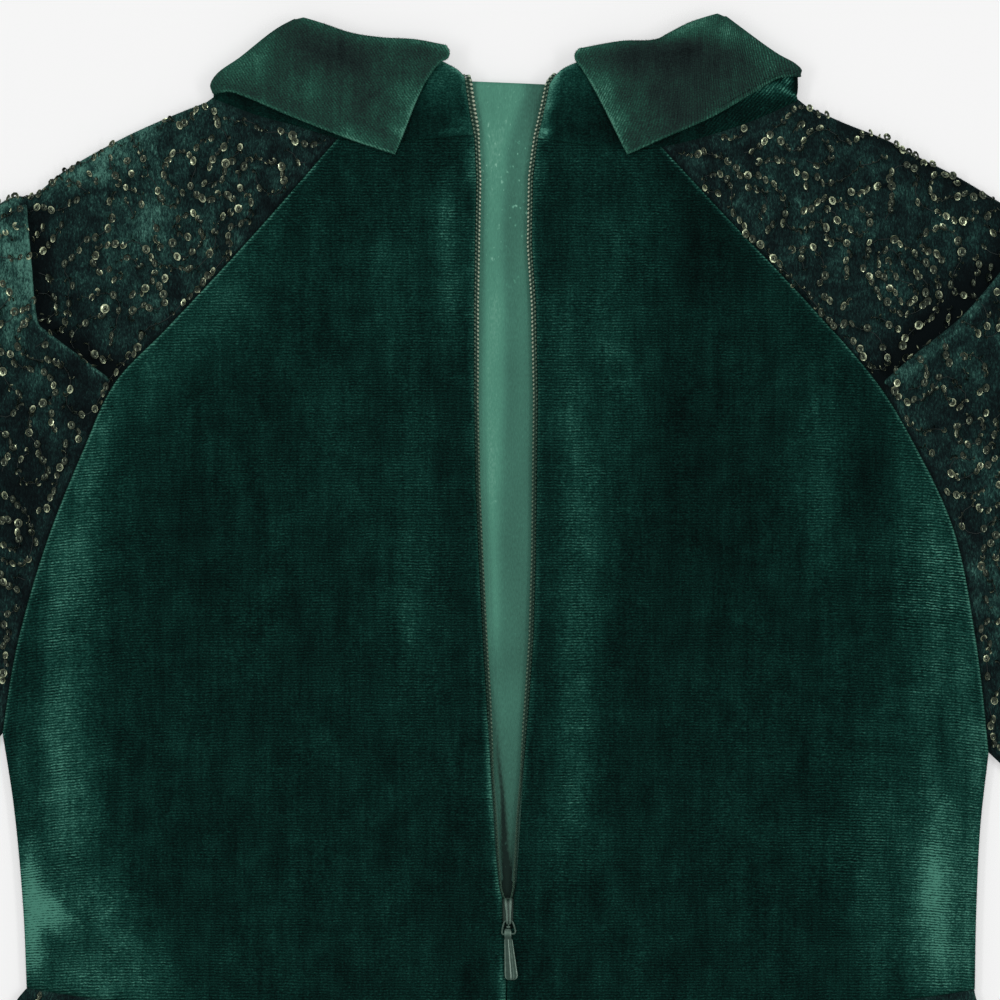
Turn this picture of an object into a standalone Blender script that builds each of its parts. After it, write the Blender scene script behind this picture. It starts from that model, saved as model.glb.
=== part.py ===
"""A velvet dress laid face down on a surface, with the back zip open.

Plan sizes are in millimetres: x runs out from the zip, y up from the waist seam towards the
collar, and z up from the surface. Every panel is a wall of cloth worked out from its outline
and from one height for the lower layer and one for the upper layer, so neighbours stay apart
by one even gap at every seam.
"""
from collections import namedtuple

import bpy
import numpy as np

MM = 0.001

# Thicknesses and clearances, millimetres.
CLOTH = 1.2
LINING = 1.0
TAPE = 0.8
GAP = 0.3
SEAM = 0.5

# Air between the front and the back of the dress, and how soon the back rolls down to an edge.
AIR = 2.6
EDGE_ROLL = 12.0
COLLAR_ROLL = 4.0

# Seams of the bodice, from the neck to the underarm.
RAGLAN = {
    "left": ((-60.5, 310.2), (-90.5, 276), (-122, 242), (-141, 222), (-152, 198.5),
             (-165, 166), (-176, 128), (-181.5, 96)),
    "right": ((56, 307), (76, 285.5), (110.5, 249), (134.5, 221), (146, 202),
              (161, 170), (169, 131), (174, 89)),
}
# Sides of the bodice, from the underarm to the waist.
SIDE = {
    "left": ((-181.5, 96), (-177.5, 70), (-174, 32), (-172.8, 4.3)),
    "right": ((174, 89), (171, 62), (169.5, 30), (169, 2)),
}
# Neck seam of each half, from the side of the neck to the zip.
NECK_SIDE = {
    "left": ((-105, 324.4), (-90, 318.6), (-76, 314.8), (-60.5, 310.2)),
    "right": ((104.8, 323.6), (91.5, 317.6), (74.5, 311.6), (56, 307)),
}
NECK_BACK = {
    "left": ((-60.5, 310.2), (-35, 309.4), (-11.4, 311.5)),
    "right": ((56, 307), (34, 307.4), (11.5, 310.2)),
}
# Outline along the top of each sleeve, from the neck to the cuff: the sleeve is folded there.
SLEEVE_TOP = {
    "left": ((-106, 324), (-117.5, 319.6), (-139, 310), (-160.5, 297.8), (-171.7, 289.4),
             (-177, 289.6), (-183, 286.5), (-228, 245), (-281, 179), (-507, -100)),
    "right": ((106, 323), (121.5, 316), (138, 309.4), (150, 303), (163, 296.4), (178, 287.4),
              (192, 279), (226, 246), (276, 180), (503, -100)),
}
BICEP_ROW = 8
# Seam under each arm, from the bodice to the cuff.
UNDERARM = {
    "left": ((-181.5, 96), (-196, 78), (-300, -24), (-438, -157)),
    "right": ((174, 89), (190, 74), (296, -24), (434, -157)),
}

# Width of the skirt to the left and right of the zip, at each drop below the end of the waist seam.
Flare = namedtuple("Flare", "drop left right")
SKIRT_SIDE = (
    Flare(0, 172.6, 168.6),
    Flare(4.3, 176.2, 169.6),
    Flare(14, 181.5, 174),
    Flare(60, 192, 188),
    Flare(200, 216, 214),
    Flare(422.3, 252, 252),
)
WAIST_END = 4.3
WAIST_DIP = 14.5
WAIST_HALF = 174
HEM_SIDE = 418
HEM_DIP = 14

# Velvet edges of the zip opening: height above the waist, left edge, right edge.
Edge = namedtuple("Edge", "height left right")
OPENING = (
    Edge(334, -15.1, 16.6),
    Edge(322, -13.4, 14.1),
    Edge(311, -11.4, 11.5),
    Edge(296, -10.6, 9.7),
    Edge(272, -11.1, 9.3),
    Edge(250, -11.5, 10.8),
    Edge(217, -11.5, 11.5),
    Edge(186, -10.5, 11.1),
    Edge(160, -9.4, 10.8),
    Edge(130, -7.9, 9.9),
    Edge(107, -6.5, 8.3),
    Edge(80, -5.4, 6.1),
    Edge(52, -3.6, 4.4),
    Edge(40, -2.4, 3.5),
    Edge(36.8, -1.3, 2.7),
    Edge(26.4, -1.2, 2.6),
    Edge(23.5, 0.45, 0.75),
    Edge(-10, -0.15, 0.15),
)

# Collar fall, upper half: its end beside the zip, the roll, the side fold and the lower edge.
FALL_END = {
    "left": ((-20.2, 342.6), (-23, 339), (-40, 304.2)),
    "right": ((25.2, 341), (34, 323), (43.6, 304.2)),
}
FALL_ROLL = {
    "left": ((-20.2, 342.9), (-32.8, 345.6), (-44.5, 346.3), (-55.8, 348.2), (-66, 351.6), (-74.5, 354.2)),
    "right": ((25.2, 341.4), (41.4, 345.4), (55, 346.6), (66, 351.4), (78, 355.8)),
}
FALL_FOLD = {
    "left": ((-74.5, 354.2), (-82.4, 350), (-96, 339.4), (-104.9, 332.8), (-106.6, 329.6), (-105.6, 325.8)),
    "right": ((78, 355.8), (84, 351.2), (98.6, 340.9), (105.2, 335.8), (106.4, 333.4), (106, 331)),
}
FALL_LOWER = {
    "left": ((-40, 304.2), (-56, 309.6), (-78, 318.2), (-94.5, 325.2), (-99.4, 326.8), (-105.6, 325.8)),
    "right": ((43.6, 304.2), (56, 309.7), (75, 318.2), (89.6, 326.8), (98, 330.2), (106, 331)),
}
# Collar fall, lower half, which lies under the dress: roll and lower edge up to centre front.
FRONT_ROLL = ((-62, 348), (-50, 343), (-40, 338.8), (-20, 333.2), (-0.15, 331.6))
FRONT_LOWER = ((-86, 321), (-56, 309), (-30, 300), (-0.15, 294))
# Height of the hidden lower edge, outwards from centre front.
FRONT_FALL_EDGE = ((0, 294), (30, 300), (56, 309), (86, 320.5), (105, 325))
# How far the stand's top stops below the roll, in the back and in the front half.
STAND_SHORT = 4.6
STAND_DROP = 5.4
STAND_TOP = {"left": 333.3, "right": 332.7}
# How far the straight edges of sleeve, fall and stand stop short of their side folds.
NECK_TRIM = 1.6
FALL_TRIM = 3.6
STAND_TRIM = 5.8
SEAM_TRIM = 4.4
# Extra room between stand and fall, over the back and round the side folds.
FALL_LIFT = 0.1
STAND_SLACK = 0.7
# The front of the dress climbs onto the front of the collar over this length, and is up this
# far before the collar's edge; the reach is how far from the zip it is lifted.
COLLAR_LIFT = 55
COLLAR_CLEAR = 5
NECK_REACH = 165

# The lining shows between the zip's edges and reaches a little under both.
LINING_TOP = {"left": 331.6, "right": 329}
LINING_FOOT = 18
LINING_MARGIN = 16

# Zip.
TAPE_WIDTH = 11
TAPE_SHOWS = 0.6
ZIP_X = 0.7
SLIDER_HEAD = 36.4
SLIDER_FOOT = 27.6
SLIDER_WIDTH = 6.0
SLIDER_PLATE = 0.8
BRIDGE_WIDTH = 2.9
BRIDGE_HOLE = 0.75
BRIDGE_WALL = 0.5
PULL_AXIS_Y = 28.4
PULL_THICK = 1.0
PULL_EYE = 5.4
PULL_HOLE = 3.6
PULL_BAR = 0.8
PULL_NECK = 3.1
PULL_FOOT_WIDTH = 5.0
PULL_FOOT = 7.2
PULL_LEAN = 1.1

# Soft ridges (height above 0) and troughs, each along one line.
Fold = namedtuple("Fold", "x0 y0 x1 y1 half_width height")
FOLDS = (
    Fold(27, 262, 22, 48, 12, 0.7),
    Fold(-27, 262, -24, 60, 13, 0.5),
    Fold(118, 236, 152, 60, 16, 0.7),
    Fold(-152, 192, -151, 22, 15, 0.6),
    Fold(-66, 286, -128, 214, 14, 0.5),
    Fold(-117, 306, -96, 262, 9, 0.7),
    Fold(-147, 292, -134, 246, 8, 0.6),
    Fold(140, 298, 122, 252, 9, 0.6),
    Fold(-262, 172, -330, 44, 16, 0.6),
    Fold(-322, 92, -430, -62, 14, -0.7),
    Fold(262, 168, 322, 52, 16, 0.6),
    Fold(330, 84, 432, -66, 14, -0.7),
    Fold(-128, -40, -176, -404, 20, 0.8),
    Fold(-72, -36, -98, -408, 18, -0.9),
    Fold(-18, -44, -24, -412, 19, 0.8),
    Fold(40, -38, 58, -410, 17, -0.9),
    Fold(92, -42, 130, -406, 20, 0.8),
    Fold(138, -34, 196, -402, 16, -0.7),
)

# Where a sleeve is turned down, its lower part lies over the shoulder in a lip. The line runs
# from the sleeve's top to the raglan seam; beyond it the cloth rises, inside it sinks.
Lip = namedtuple("Lip", "line beyond rise run sink dip")
LIPS = (
    Lip(((-173.5, 293), (-171, 264), (-167.5, 242), (-155, 231.5), (-141, 222)), -1, 1.6, 16, 2.0, 8),
    Lip(((192, 281), (177.5, 261), (163.4, 245), (149, 233.5), (134.5, 221)), 1, 1.6, 16, 2.0, 8),
)
LIP_EASE = 1.5
LIP_FADE = 16

# Rows and columns of the walls.
RAGLAN_ROWS = 18
SIDE_ROWS = 6
ARM_ROWS = 9
PANEL_COLUMNS = 10
FRONT_PANEL_COLUMNS = 14
SLEEVE_COLUMNS = 11
UNDER_COLUMNS = 5
FOLD_STEPS = 4
SKIRT_ROWS = 14
SKIRT_COLUMNS = 18
COLLAR_COLUMNS = 8
FRONT_COLUMNS = 6
LINING_ROWS = 26
LINING_COLUMNS = 4
# Rows of the collar as shares of its depth, close together at the roll.
FALL_SHARES = (0, 0.05, 0.11, 0.28, 0.52, 0.76, 0.9, 1)
STAND_SHARES = (0, 0.25, 0.5, 0.75, 1)

MaterialLook = namedtuple("MaterialLook", "colour roughness metallic")
VELVET = MaterialLook((0.010, 0.075, 0.055), 0.80, 0.0)
SEQUINED = MaterialLook((0.012, 0.050, 0.042), 0.75, 0.0)
LINING_LOOK = MaterialLook((0.060, 0.240, 0.165), 0.60, 0.0)
TAPE_LOOK = MaterialLook((0.020, 0.110, 0.080), 0.70, 0.0)
ZIP_METAL = MaterialLook((0.110, 0.210, 0.165), 0.35, 0.6)


# Curves and surfaces in plan.

def along(rows, spacing):
    """Points on a smooth curve through the rows: a count of even ones, or shares of its length."""
    shares = np.linspace(0, 1, spacing) if isinstance(spacing, int) else np.asarray(spacing)
    knots = np.asarray(rows, float)
    if len(knots) == 2:
        return spread(knots, shares)
    reach = np.vstack([2 * knots[0] - knots[1], knots, 2 * knots[-1] - knots[-2]])
    spans = []
    for before, start, end, after in zip(reach, reach[1:], reach[2:], reach[3:]):
        first = np.linalg.norm(start - before)
        middle = np.linalg.norm(end - start)
        last = np.linalg.norm(after - end)
        leave = middle * ((start - before) / first + (end - start) / middle) / 2
        arrive = middle * ((end - start) / middle + (after - end) / last) / 2
        share = np.linspace(0, 1, 24, endpoint=False)[:, None]
        spans.append((2 * share**3 - 3 * share**2 + 1) * start
                     + (share**3 - 2 * share**2 + share) * leave
                     + (3 * share**2 - 2 * share**3) * end
                     + (share**3 - share**2) * arrive)
    fine = np.vstack(spans + [knots[-1:]])
    return spread(fine, shares)


def spread(line, shares):
    """Points of a polyline at the given shares of its length."""
    steps = np.linalg.norm(np.diff(line, axis=0), axis=1)
    travelled = np.concatenate([[0], np.cumsum(steps)])
    wanted = np.asarray(shares) * travelled[-1]
    return np.column_stack([np.interp(wanted, travelled, line[:, axis]) for axis in (0, 1)])


def trimmed(rows, count, cut):
    """Even points on a smooth curve that stops short of its last row."""
    fine = along(rows, 200)
    length = np.linalg.norm(np.diff(fine, axis=0), axis=1).sum()
    return spread(fine, np.linspace(0, 1 - cut / length, count))


def normals(line):
    """Unit normals of a polyline, to the left of its direction."""
    run = np.gradient(line, axis=0)
    run /= np.linalg.norm(run, axis=1)[:, None]
    return np.column_stack([-run[:, 1], run[:, 0]])


def coons(first, last, left, right):
    """Plan surface between four lines: rows run from first to last, columns from left to right."""
    down = ((shares_of(left) + shares_of(right)) / 2)[:, None, None]
    across = np.linspace(0, 1, len(first))[None, :, None]
    ruled = (1 - down) * first[None] + down * last[None]
    sides = (1 - across) * left[:, None] + across * right[:, None]
    corners = ((1 - down) * ((1 - across) * first[0] + across * first[-1])
               + down * ((1 - across) * last[0] + across * last[-1]))
    return ruled + sides - corners


def shares_of(line):
    """Share of a line's length at each of its points."""
    travelled = np.concatenate([[0], np.cumsum(np.linalg.norm(np.diff(line, axis=0), axis=1))])
    return travelled / travelled[-1]


def patch(left, right, columns, first=None, last=None):
    """A coons surface whose first and last rows are straight where they aren't given."""
    share = np.linspace(0, 1, columns + 1)[:, None]
    if first is None:
        first = left[0] * (1 - share) + right[0] * share
    if last is None:
        last = left[-1] * (1 - share) + right[-1] * share
    first = first + (1 - share) * (left[0] - first[0]) + share * (right[0] - first[-1])
    last = last + (1 - share) * (left[-1] - last[0]) + share * (right[-1] - last[-1])
    return coons(first, last, left, right)


def nearest(points, line):
    """Distance, side (1 left of the line, -1 right) and share of the way to the nearest point."""
    flat = points.reshape(-1, 2)
    starts, ends = line[:-1], line[1:]
    runs = ends - starts
    lengths = np.linalg.norm(runs, axis=1)
    offset = flat[:, None] - starts[None]
    share = np.clip((offset * runs).sum(2) / lengths**2, 0, 1)
    gaps = np.linalg.norm(offset - share[..., None] * runs, axis=2)
    best = gaps.argmin(1)
    every = np.arange(len(flat))
    turn = runs[best, 0] * offset[every, best, 1] - runs[best, 1] * offset[every, best, 0]
    travelled = np.concatenate([[0], np.cumsum(lengths)])
    way = (travelled[best] + share[every, best] * lengths[best])
    shape = points.shape[:-1]
    return gaps[every, best].reshape(shape), np.sign(turn).reshape(shape), way.reshape(shape), travelled[-1]


def ease(value):
    """0 below 0, 1 above 1 and a soft S between."""
    value = np.clip(value, 0, 1)
    return value * value * (3 - 2 * value)


def roll(distance, reach):
    """0 at an edge, 1 at the reach and beyond, steep at the edge."""
    return np.sin(np.clip(distance / reach, 0, 1) * np.pi / 2)


# Outlines shared by neighbours.

def dipping_line(left, right, count, end, dip, half):
    """Points of a seam that hangs lowest in the middle."""
    across = np.linspace(left, right, count)
    return np.column_stack([across, end - dip * (1 - (across / half)**2)])


def waist_line(left, right, count):
    return dipping_line(left, right, count, WAIST_END, WAIST_DIP, WAIST_HALF)


def hem_line(count):
    hem = SKIRT_SIDE[-1]
    return dipping_line(-hem.left, hem.right, count, -HEM_SIDE, HEM_DIP, hem.right)


def skirt_side(side, count):
    outward = -1 if side == "left" else 1
    return along([(outward * getattr(row, side), WAIST_END - row.drop) for row in SKIRT_SIDE], count)


def bodice_edge(side):
    """Raglan seam and side seam as one line of rows, drawn in by half a gap."""
    raglan = along(RAGLAN[side], RAGLAN_ROWS + 1)
    below = along(SIDE[side], SIDE_ROWS + 1)
    line = np.vstack([raglan, below[1:]])
    inward = 1 if side == "left" else -1
    return line + inward * GAP / 2 * normals(line)


def opening_edge(side, heights):
    table = OPENING[::-1]
    return np.interp(heights, [row.height for row in table], [getattr(row, side) for row in table])


def opening_rows(side):
    """Rows down the zip: even in the open part, close together round the slider."""
    top = NECK_BACK[side][-1][1]
    heights = np.concatenate([np.linspace(top, 52, RAGLAN_ROWS), [40, 36.8, 31.5, 26.4, 23.5, 6, -10]])
    return np.column_stack([opening_edge(side, heights), heights])


def silhouette():
    """Every line where the upper layer of the dress comes down to the lower one."""
    lines = []
    for side in ("left", "right"):
        lines.append(along(SIDE[side], 9))
        lines.append(along(SLEEVE_TOP[side], 33))
        lines.append(along(UNDERARM[side], 13))
        lines.append(skirt_side(side, 13))
        lines.append(np.array([SLEEVE_TOP[side][-1], UNDERARM[side][-1]], float))
    lines.append(hem_line(15))
    return lines


SILHOUETTE = silhouette()


# Heights of the layers, at the middle of each wall.

def lower_layer(points):
    """Height of the front: flat on the surface, lifted where the front of the collar lies under it."""
    edge = np.interp(np.abs(points[..., 0]), *zip(*FRONT_FALL_EDGE))
    lift = ease((points[..., 1] - edge + COLLAR_LIFT) / (COLLAR_LIFT - COLLAR_CLEAR))
    near_neck = ease((NECK_REACH - np.abs(points[..., 0])) / COLLAR_LIFT)
    return CLOTH / 2 + (CLOTH + GAP) * lift * near_neck


def fold_heights(points):
    total = np.zeros(points.shape[:-1])
    for fold in FOLDS:
        line = np.array([(fold.x0, fold.y0), (fold.x1, fold.y1)], float)
        distance, _, way, length = nearest(points, line)
        taper = ease(way / (0.3 * length)) * ease((length - way) / (0.3 * length))
        total += fold.height * taper * np.exp(-(distance / fold.half_width)**2)
    return total


def lip_heights(points):
    total = np.zeros(points.shape[:-1])
    for lip in LIPS:
        distance, side, way, length = nearest(points, along(lip.line, 25))
        beyond = distance * side * lip.beyond
        raised = lip.rise * np.exp(-np.maximum(beyond, 0) / lip.run)
        sunk = -lip.sink * np.exp(-np.maximum(-beyond, 0) / lip.dip)
        mix = (1 + np.tanh(beyond / LIP_EASE)) / 2
        fade = ease((length - way) / LIP_FADE)
        total += fade * (raised * mix + sunk * (1 - mix))
    return total


def upper_layer(points):
    """Height of the back, rolled down to the front at every edge of the dress."""
    clear = np.full(points.shape[:-1], np.inf)
    for line in SILHOUETTE:
        clear = np.minimum(clear, nearest(points, line)[0])
    rise = (AIR + fold_heights(points) + lip_heights(points)) * roll(clear, EDGE_ROLL)
    return lower_layer(points) + CLOTH + GAP + np.maximum(rise, 0)


def lining_layer(points):
    return lower_layer(points) + CLOTH / 2 + GAP + LINING / 2


def tape_layer(points):
    return lining_layer(points) + LINING / 2 + GAP + TAPE / 2


def at_height(plan, height):
    """A plan surface with its heights as a third value."""
    return np.concatenate([plan, height(plan)[..., None]], axis=2)


# Walls of cloth.

def drawn_in(outline, away, upper, lower, wrap=0):
    """Where a fold's straight parts end, so that its outside bulges just to the outline."""
    spot = outline
    for _ in range(3):
        radius = (upper(spot) - lower(spot))[:, None] / 2
        spot = outline - away * (radius + CLOTH / 2 + wrap)
    return spot


def facing(layer, upwards):
    """The outward direction of a flat layer at each of its points."""
    direction = np.zeros_like(layer)
    direction[..., 2] = 1 if upwards else -1
    return direction


def link(layers, outward):
    """Joins layers, the first an upper one, with half-round folds that bulge outward.

    Gives the middle surface and the direction that the cloth's outer side faces.
    """
    spots, faces = [layers[0]], [facing(layers[0], True)]
    for number, (before, after, away) in enumerate(zip(layers, layers[1:], outward)):
        start, end = before[:, -1], after[:, 0]
        middle, half = (start + end) / 2, (start - end) / 2
        radius = np.abs(half[:, 2])[:, None]
        push = np.column_stack([away, np.zeros(len(away))])
        rise = np.array([0, 0, -1.0 if number % 2 else 1.0])
        for step in range(1, FOLD_STEPS):
            angle = np.pi * step / FOLD_STEPS
            spots.append((middle + half * np.cos(angle) + push * radius * np.sin(angle))[:, None])
            faces.append((push * np.sin(angle) + rise * np.cos(angle))[:, None])
        spots.append(after)
        faces.append(facing(after, number % 2 == 1))
    return np.concatenate(spots, axis=1), np.concatenate(faces, axis=1)


def wall(name, middle, direction, thickness, material):
    """A closed wall of cloth about a surface of rows and columns."""
    rows, columns = middle.shape[:2]
    shift = direction * thickness / 2
    corners = np.concatenate([(middle + shift).reshape(-1, 3), (middle - shift).reshape(-1, 3)])
    layer = rows * columns

    def spot(row, column, inner):
        return row * columns + column + (layer if inner else 0)

    faces = []
    for row in range(rows - 1):
        for column in range(columns - 1):
            here, below = (row, column), (row + 1, column)
            across, beside = (row + 1, column + 1), (row, column + 1)
            for triangle in ((here, below, across), (here, across, beside)):
                faces.append([spot(*corner, False) for corner in triangle])
                faces.append([spot(*corner, True) for corner in reversed(triangle)])
    rim = ([(0, column) for column in range(columns)]
           + [(row, columns - 1) for row in range(1, rows)]
           + [(rows - 1, column) for column in range(columns - 2, -1, -1)]
           + [(row, 0) for row in range(rows - 2, 0, -1)])
    for here, there in zip(rim, rim[1:] + rim[:1]):
        faces.append([spot(*here, False), spot(*there, False), spot(*there, True), spot(*here, True)])
    return solid(name, corners, faces, material)


def panel(name, plan, height, thickness, material):
    """A wall that lies in one layer."""
    middle = at_height(plan, height)
    return wall(name, middle, facing(middle, True), thickness, material)


def solid(name, corners, faces, material, smooth=True):
    """A mesh object from corners in millimetres."""
    mesh = bpy.data.meshes.new(name)
    mesh.from_pydata([tuple(float(value) for value in corner * MM) for corner in corners], [], faces)
    mesh.materials.append(material)
    mesh.validate()
    for polygon in mesh.polygons:
        polygon.use_smooth = smooth
    thing = bpy.data.objects.new(name, mesh)
    bpy.context.scene.collection.objects.link(thing)
    face_outwards(thing)
    return thing


def face_outwards(thing):
    """Turns a closed mesh right side out."""
    mesh = thing.data
    mesh.calc_loop_triangles()
    volume = 0.0
    for triangle in mesh.loop_triangles:
        a, b, c = (mesh.vertices[index].co for index in triangle.vertices)
        volume += a.dot(b.cross(c))
    if volume < 0:
        mesh.flip_normals()


def prism(name, first, last, material):
    """A solid between two outlines with the same count of corners."""
    count = len(first)
    faces = [list(range(count)), list(range(count, 2 * count))[::-1]]
    for here in range(count):
        there = (here + 1) % count
        faces.append([there, here, count + here, count + there])
    return solid(name, np.array(first + last), faces, material, smooth=False)


def plate(name, outline, low, high, material):
    """A prism that stands on its outline, between two heights."""
    return prism(name, [(x, y, low) for x, y in outline], [(x, y, high) for x, y in outline], material)


def upright(name, side, half_width, material):
    """A prism across the zip from a side view: points of distance along the zip and height."""
    left = [(ZIP_X - half_width, y, z) for y, z in side]
    right = [(ZIP_X + half_width, y, z) for y, z in side]
    return prism(name, left, right, material)


def paint(name, look):
    material = bpy.data.materials.new(name)
    material.use_nodes = True
    surface = material.node_tree.nodes["Principled BSDF"]
    surface.inputs["Base Color"].default_value = (*look.colour, 1)
    surface.inputs["Roughness"].default_value = look.roughness
    surface.inputs["Metallic"].default_value = look.metallic
    material.diffuse_color = (*look.colour, 1)
    return material


# Pieces of the dress.

def back_panel(side, material):
    """Half of the back: raglan and side seams on one edge, the zip on the other."""
    outer = bodice_edge(side)
    zip_edge = opening_rows(side)
    neck = along(NECK_BACK[side], PANEL_COLUMNS + 1)
    waist = waist_line(outer[-1, 0], zip_edge[-1, 0], PANEL_COLUMNS + 1)
    outer[0], outer[-1] = neck[0], waist[0]
    zip_edge[0], zip_edge[-1] = neck[-1], waist[-1]
    plan = patch(outer, zip_edge, PANEL_COLUMNS, neck, waist)
    return panel(f"bodice_back_{side}", plan, upper_layer, CLOTH, material)


def front_panel(material):
    left, right = bodice_edge("left"), bodice_edge("right")
    neck = along(NECK_BACK["left"] + NECK_BACK["right"][::-1], FRONT_PANEL_COLUMNS + 1)
    waist = waist_line(left[-1, 0], right[-1, 0], FRONT_PANEL_COLUMNS + 1)
    left[0], left[-1] = neck[0], waist[0]
    right[0], right[-1] = neck[-1], waist[-1]
    plan = patch(left, right, FRONT_PANEL_COLUMNS, neck, waist)
    return panel("bodice_front", plan, lower_layer, CLOTH, material)


def lining_panel(material):
    edges = []
    for side, outward in (("left", -1), ("right", 1)):
        heights = np.linspace(LINING_TOP[side], LINING_FOOT, LINING_ROWS + 1)
        edges.append(np.column_stack([opening_edge(side, heights) + outward * LINING_MARGIN, heights]))
    plan = patch(*edges, LINING_COLUMNS)
    return panel("lining_front", plan, lining_layer, LINING, material)


def sleeve(side, material):
    """One piece of cloth from the underarm seam over the top fold and back under the arm."""
    inward = 1 if side == "left" else -1
    seam = along(RAGLAN[side], RAGLAN_ROWS + 1)
    arm = along(UNDERARM[side], ARM_ROWS + 1)
    inner = np.vstack([seam, arm[1:]])
    inner = inner - inward * GAP / 2 * normals(inner)
    top = along(SLEEVE_TOP[side], 200)
    bicep = SLEEVE_TOP[side][BICEP_ROW]
    share = nearest(np.array([bicep], float), top)
    split = float(share[2][0] / share[3])
    shares = np.concatenate([np.linspace(0, split, RAGLAN_ROWS + 1),
                             np.linspace(split, 1, ARM_ROWS + 1)[1:]])
    crest = spread(top, shares)
    away = normals(crest) * -inward
    crest = drawn_in(crest, away, upper_layer, lower_layer)
    neck = trimmed(NECK_SIDE[side][::-1], SLEEVE_COLUMNS + 1, NECK_TRIM)
    crest[0] = neck[-1]
    upper = at_height(patch(inner, crest, SLEEVE_COLUMNS, neck), upper_layer)
    under_neck = trimmed(NECK_SIDE[side][::-1], UNDER_COLUMNS + 1, NECK_TRIM)[::-1]
    lower = at_height(patch(crest, inner, UNDER_COLUMNS, under_neck), lower_layer)
    return wall(f"sleeve_{side}", *link([upper, lower], [away]), CLOTH, material)


def skirt_panel(name, height, columns, material):
    left, right = skirt_side("left", SKIRT_ROWS + 1), skirt_side("right", SKIRT_ROWS + 1)
    waist = waist_line(left[0, 0], right[0, 0], columns + 1) - np.array([0, SEAM])
    left[0], right[0] = waist[0], waist[-1]
    plan = patch(left, right, columns, waist, hem_line(columns + 1))
    return panel(name, plan, height, CLOTH, material)


def collar_side(side, shares):
    """The side fold of the collar, drawn in from the outline, and its outward direction."""
    fold = along(FALL_FOLD[side], shares)
    away = normals(fold) * (-1 if side == "left" else 1)
    return fold, away


def fall_upper(points, share=1.0):
    """Height of the collar over the back: level with the stand at the roll, above it elsewhere."""
    return upper_layer(points) + (CLOTH + GAP + FALL_LIFT) * share


def fall_lower(points, share=1.0):
    """Height of the collar under the front: on the surface, but level with the stand at the roll."""
    return CLOTH / 2 + (CLOTH + GAP) * (1 - share)


def from_roll(points, roll_line):
    return roll(nearest(points, roll_line)[0], COLLAR_ROLL)


def mirrored(rows, side):
    """Rows written for the left side, turned over for the right."""
    flip = 1 if side == "left" else -1
    return [(flip * x, y) for x, y in rows]


def collar_fall(side, material):
    """One side of the turned-down collar, from its point at the zip round to centre front."""
    fold, away = collar_side(side, FALL_SHARES)
    crease = drawn_in(fold, away, fall_upper, fall_lower)
    end = along(FALL_END[side], FALL_SHARES)
    rolled = trimmed(FALL_ROLL[side], COLLAR_COLUMNS + 1, FALL_TRIM)
    lower_edge = trimmed(FALL_LOWER[side], COLLAR_COLUMNS + 1, FALL_TRIM)
    crease[0], crease[-1] = rolled[-1], lower_edge[-1]
    away = turned(away, rolled, lower_edge)
    above = patch(end, crease, COLLAR_COLUMNS, rolled, lower_edge)
    upper = np.concatenate([above, fall_upper(above, from_roll(above, rolled))[..., None]], axis=2)
    front_roll = along([crease[0]] + mirrored(FRONT_ROLL, side), FRONT_COLUMNS + 1)
    front_edge = along([crease[-1]] + mirrored(FRONT_LOWER, side), FRONT_COLUMNS + 1)
    centre = along([front_roll[-1], front_edge[-1]], FALL_SHARES)
    below = patch(crease, centre, FRONT_COLUMNS, front_roll, front_edge)
    lower = np.concatenate([below, fall_lower(below, from_roll(below, front_roll))[..., None]], axis=2)
    return wall(f"collar_fall_{side}", *link([upper, lower], [away]), CLOTH, material)


def turned(away, first, last):
    """Fold directions whose end rows carry on along the edges that run into the fold."""
    away = away.copy()
    for row, beside, line in ((0, 1, first), (-1, -2, last)):
        run = line[-1] - line[-2]
        away[row] = run / np.linalg.norm(run)
        middle = away[row] + away[beside]
        away[beside] = middle / np.linalg.norm(middle)
    return away


def stand_half(side):
    """Upper half of the stand on one side, from its end at the zip to its side fold."""
    fold, away = collar_side(side, STAND_SHARES)
    crease = drawn_in(fold, away, upper_layer, lower_layer, CLOTH + GAP + STAND_SLACK)
    seam = trimmed((NECK_SIDE[side][:-1] + NECK_BACK[side])[::-1], COLLAR_COLUMNS + 1, SEAM_TRIM)
    seam = seam + np.array([0, SEAM])
    heights = seam[0, 1] + (STAND_TOP[side] - seam[0, 1]) * (1 - np.array(STAND_SHARES))
    end = np.column_stack([opening_edge(side, heights), heights])
    rolled = trimmed(FALL_ROLL[side], 5, STAND_TRIM)
    inward = normals(rolled) * (1 if side == "left" else -1)
    top = along([end[0], *(rolled + inward * STAND_SHORT)], COLLAR_COLUMNS + 1)
    crease[0], crease[-1] = top[-1], seam[-1]
    away = turned(away, top, seam)
    return patch(end, crease, COLLAR_COLUMNS, top, seam), crease, away


def collar_stand(material):
    """The band under the collar, one piece from one side of the zip round to the other."""
    left, left_crease, left_away = stand_half("left")
    right, right_crease, right_away = stand_half("right")
    dropped = [(x, y - STAND_DROP) for x, y in FRONT_ROLL[:-1]]
    top = along([left_crease[0], *dropped, *mirrored(dropped[::-1], "right"), right_crease[0]],
                2 * FRONT_COLUMNS + 1)
    neck = NECK_SIDE["left"][1:] + NECK_BACK["left"][1:]
    neck += (NECK_SIDE["right"][1:] + NECK_BACK["right"][1:])[::-1]
    seam = along([left_crease[-1], *[(x, y + SEAM) for x, y in neck], right_crease[-1]],
                 2 * FRONT_COLUMNS + 1)
    front = patch(left_crease, right_crease, 2 * FRONT_COLUMNS, top, seam)
    layers = [at_height(left, upper_layer), at_height(front, lower_layer),
              at_height(right[:, ::-1], upper_layer)]
    return wall("collar_stand", *link(layers, [left_away, right_away]), CLOTH, material)


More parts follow.
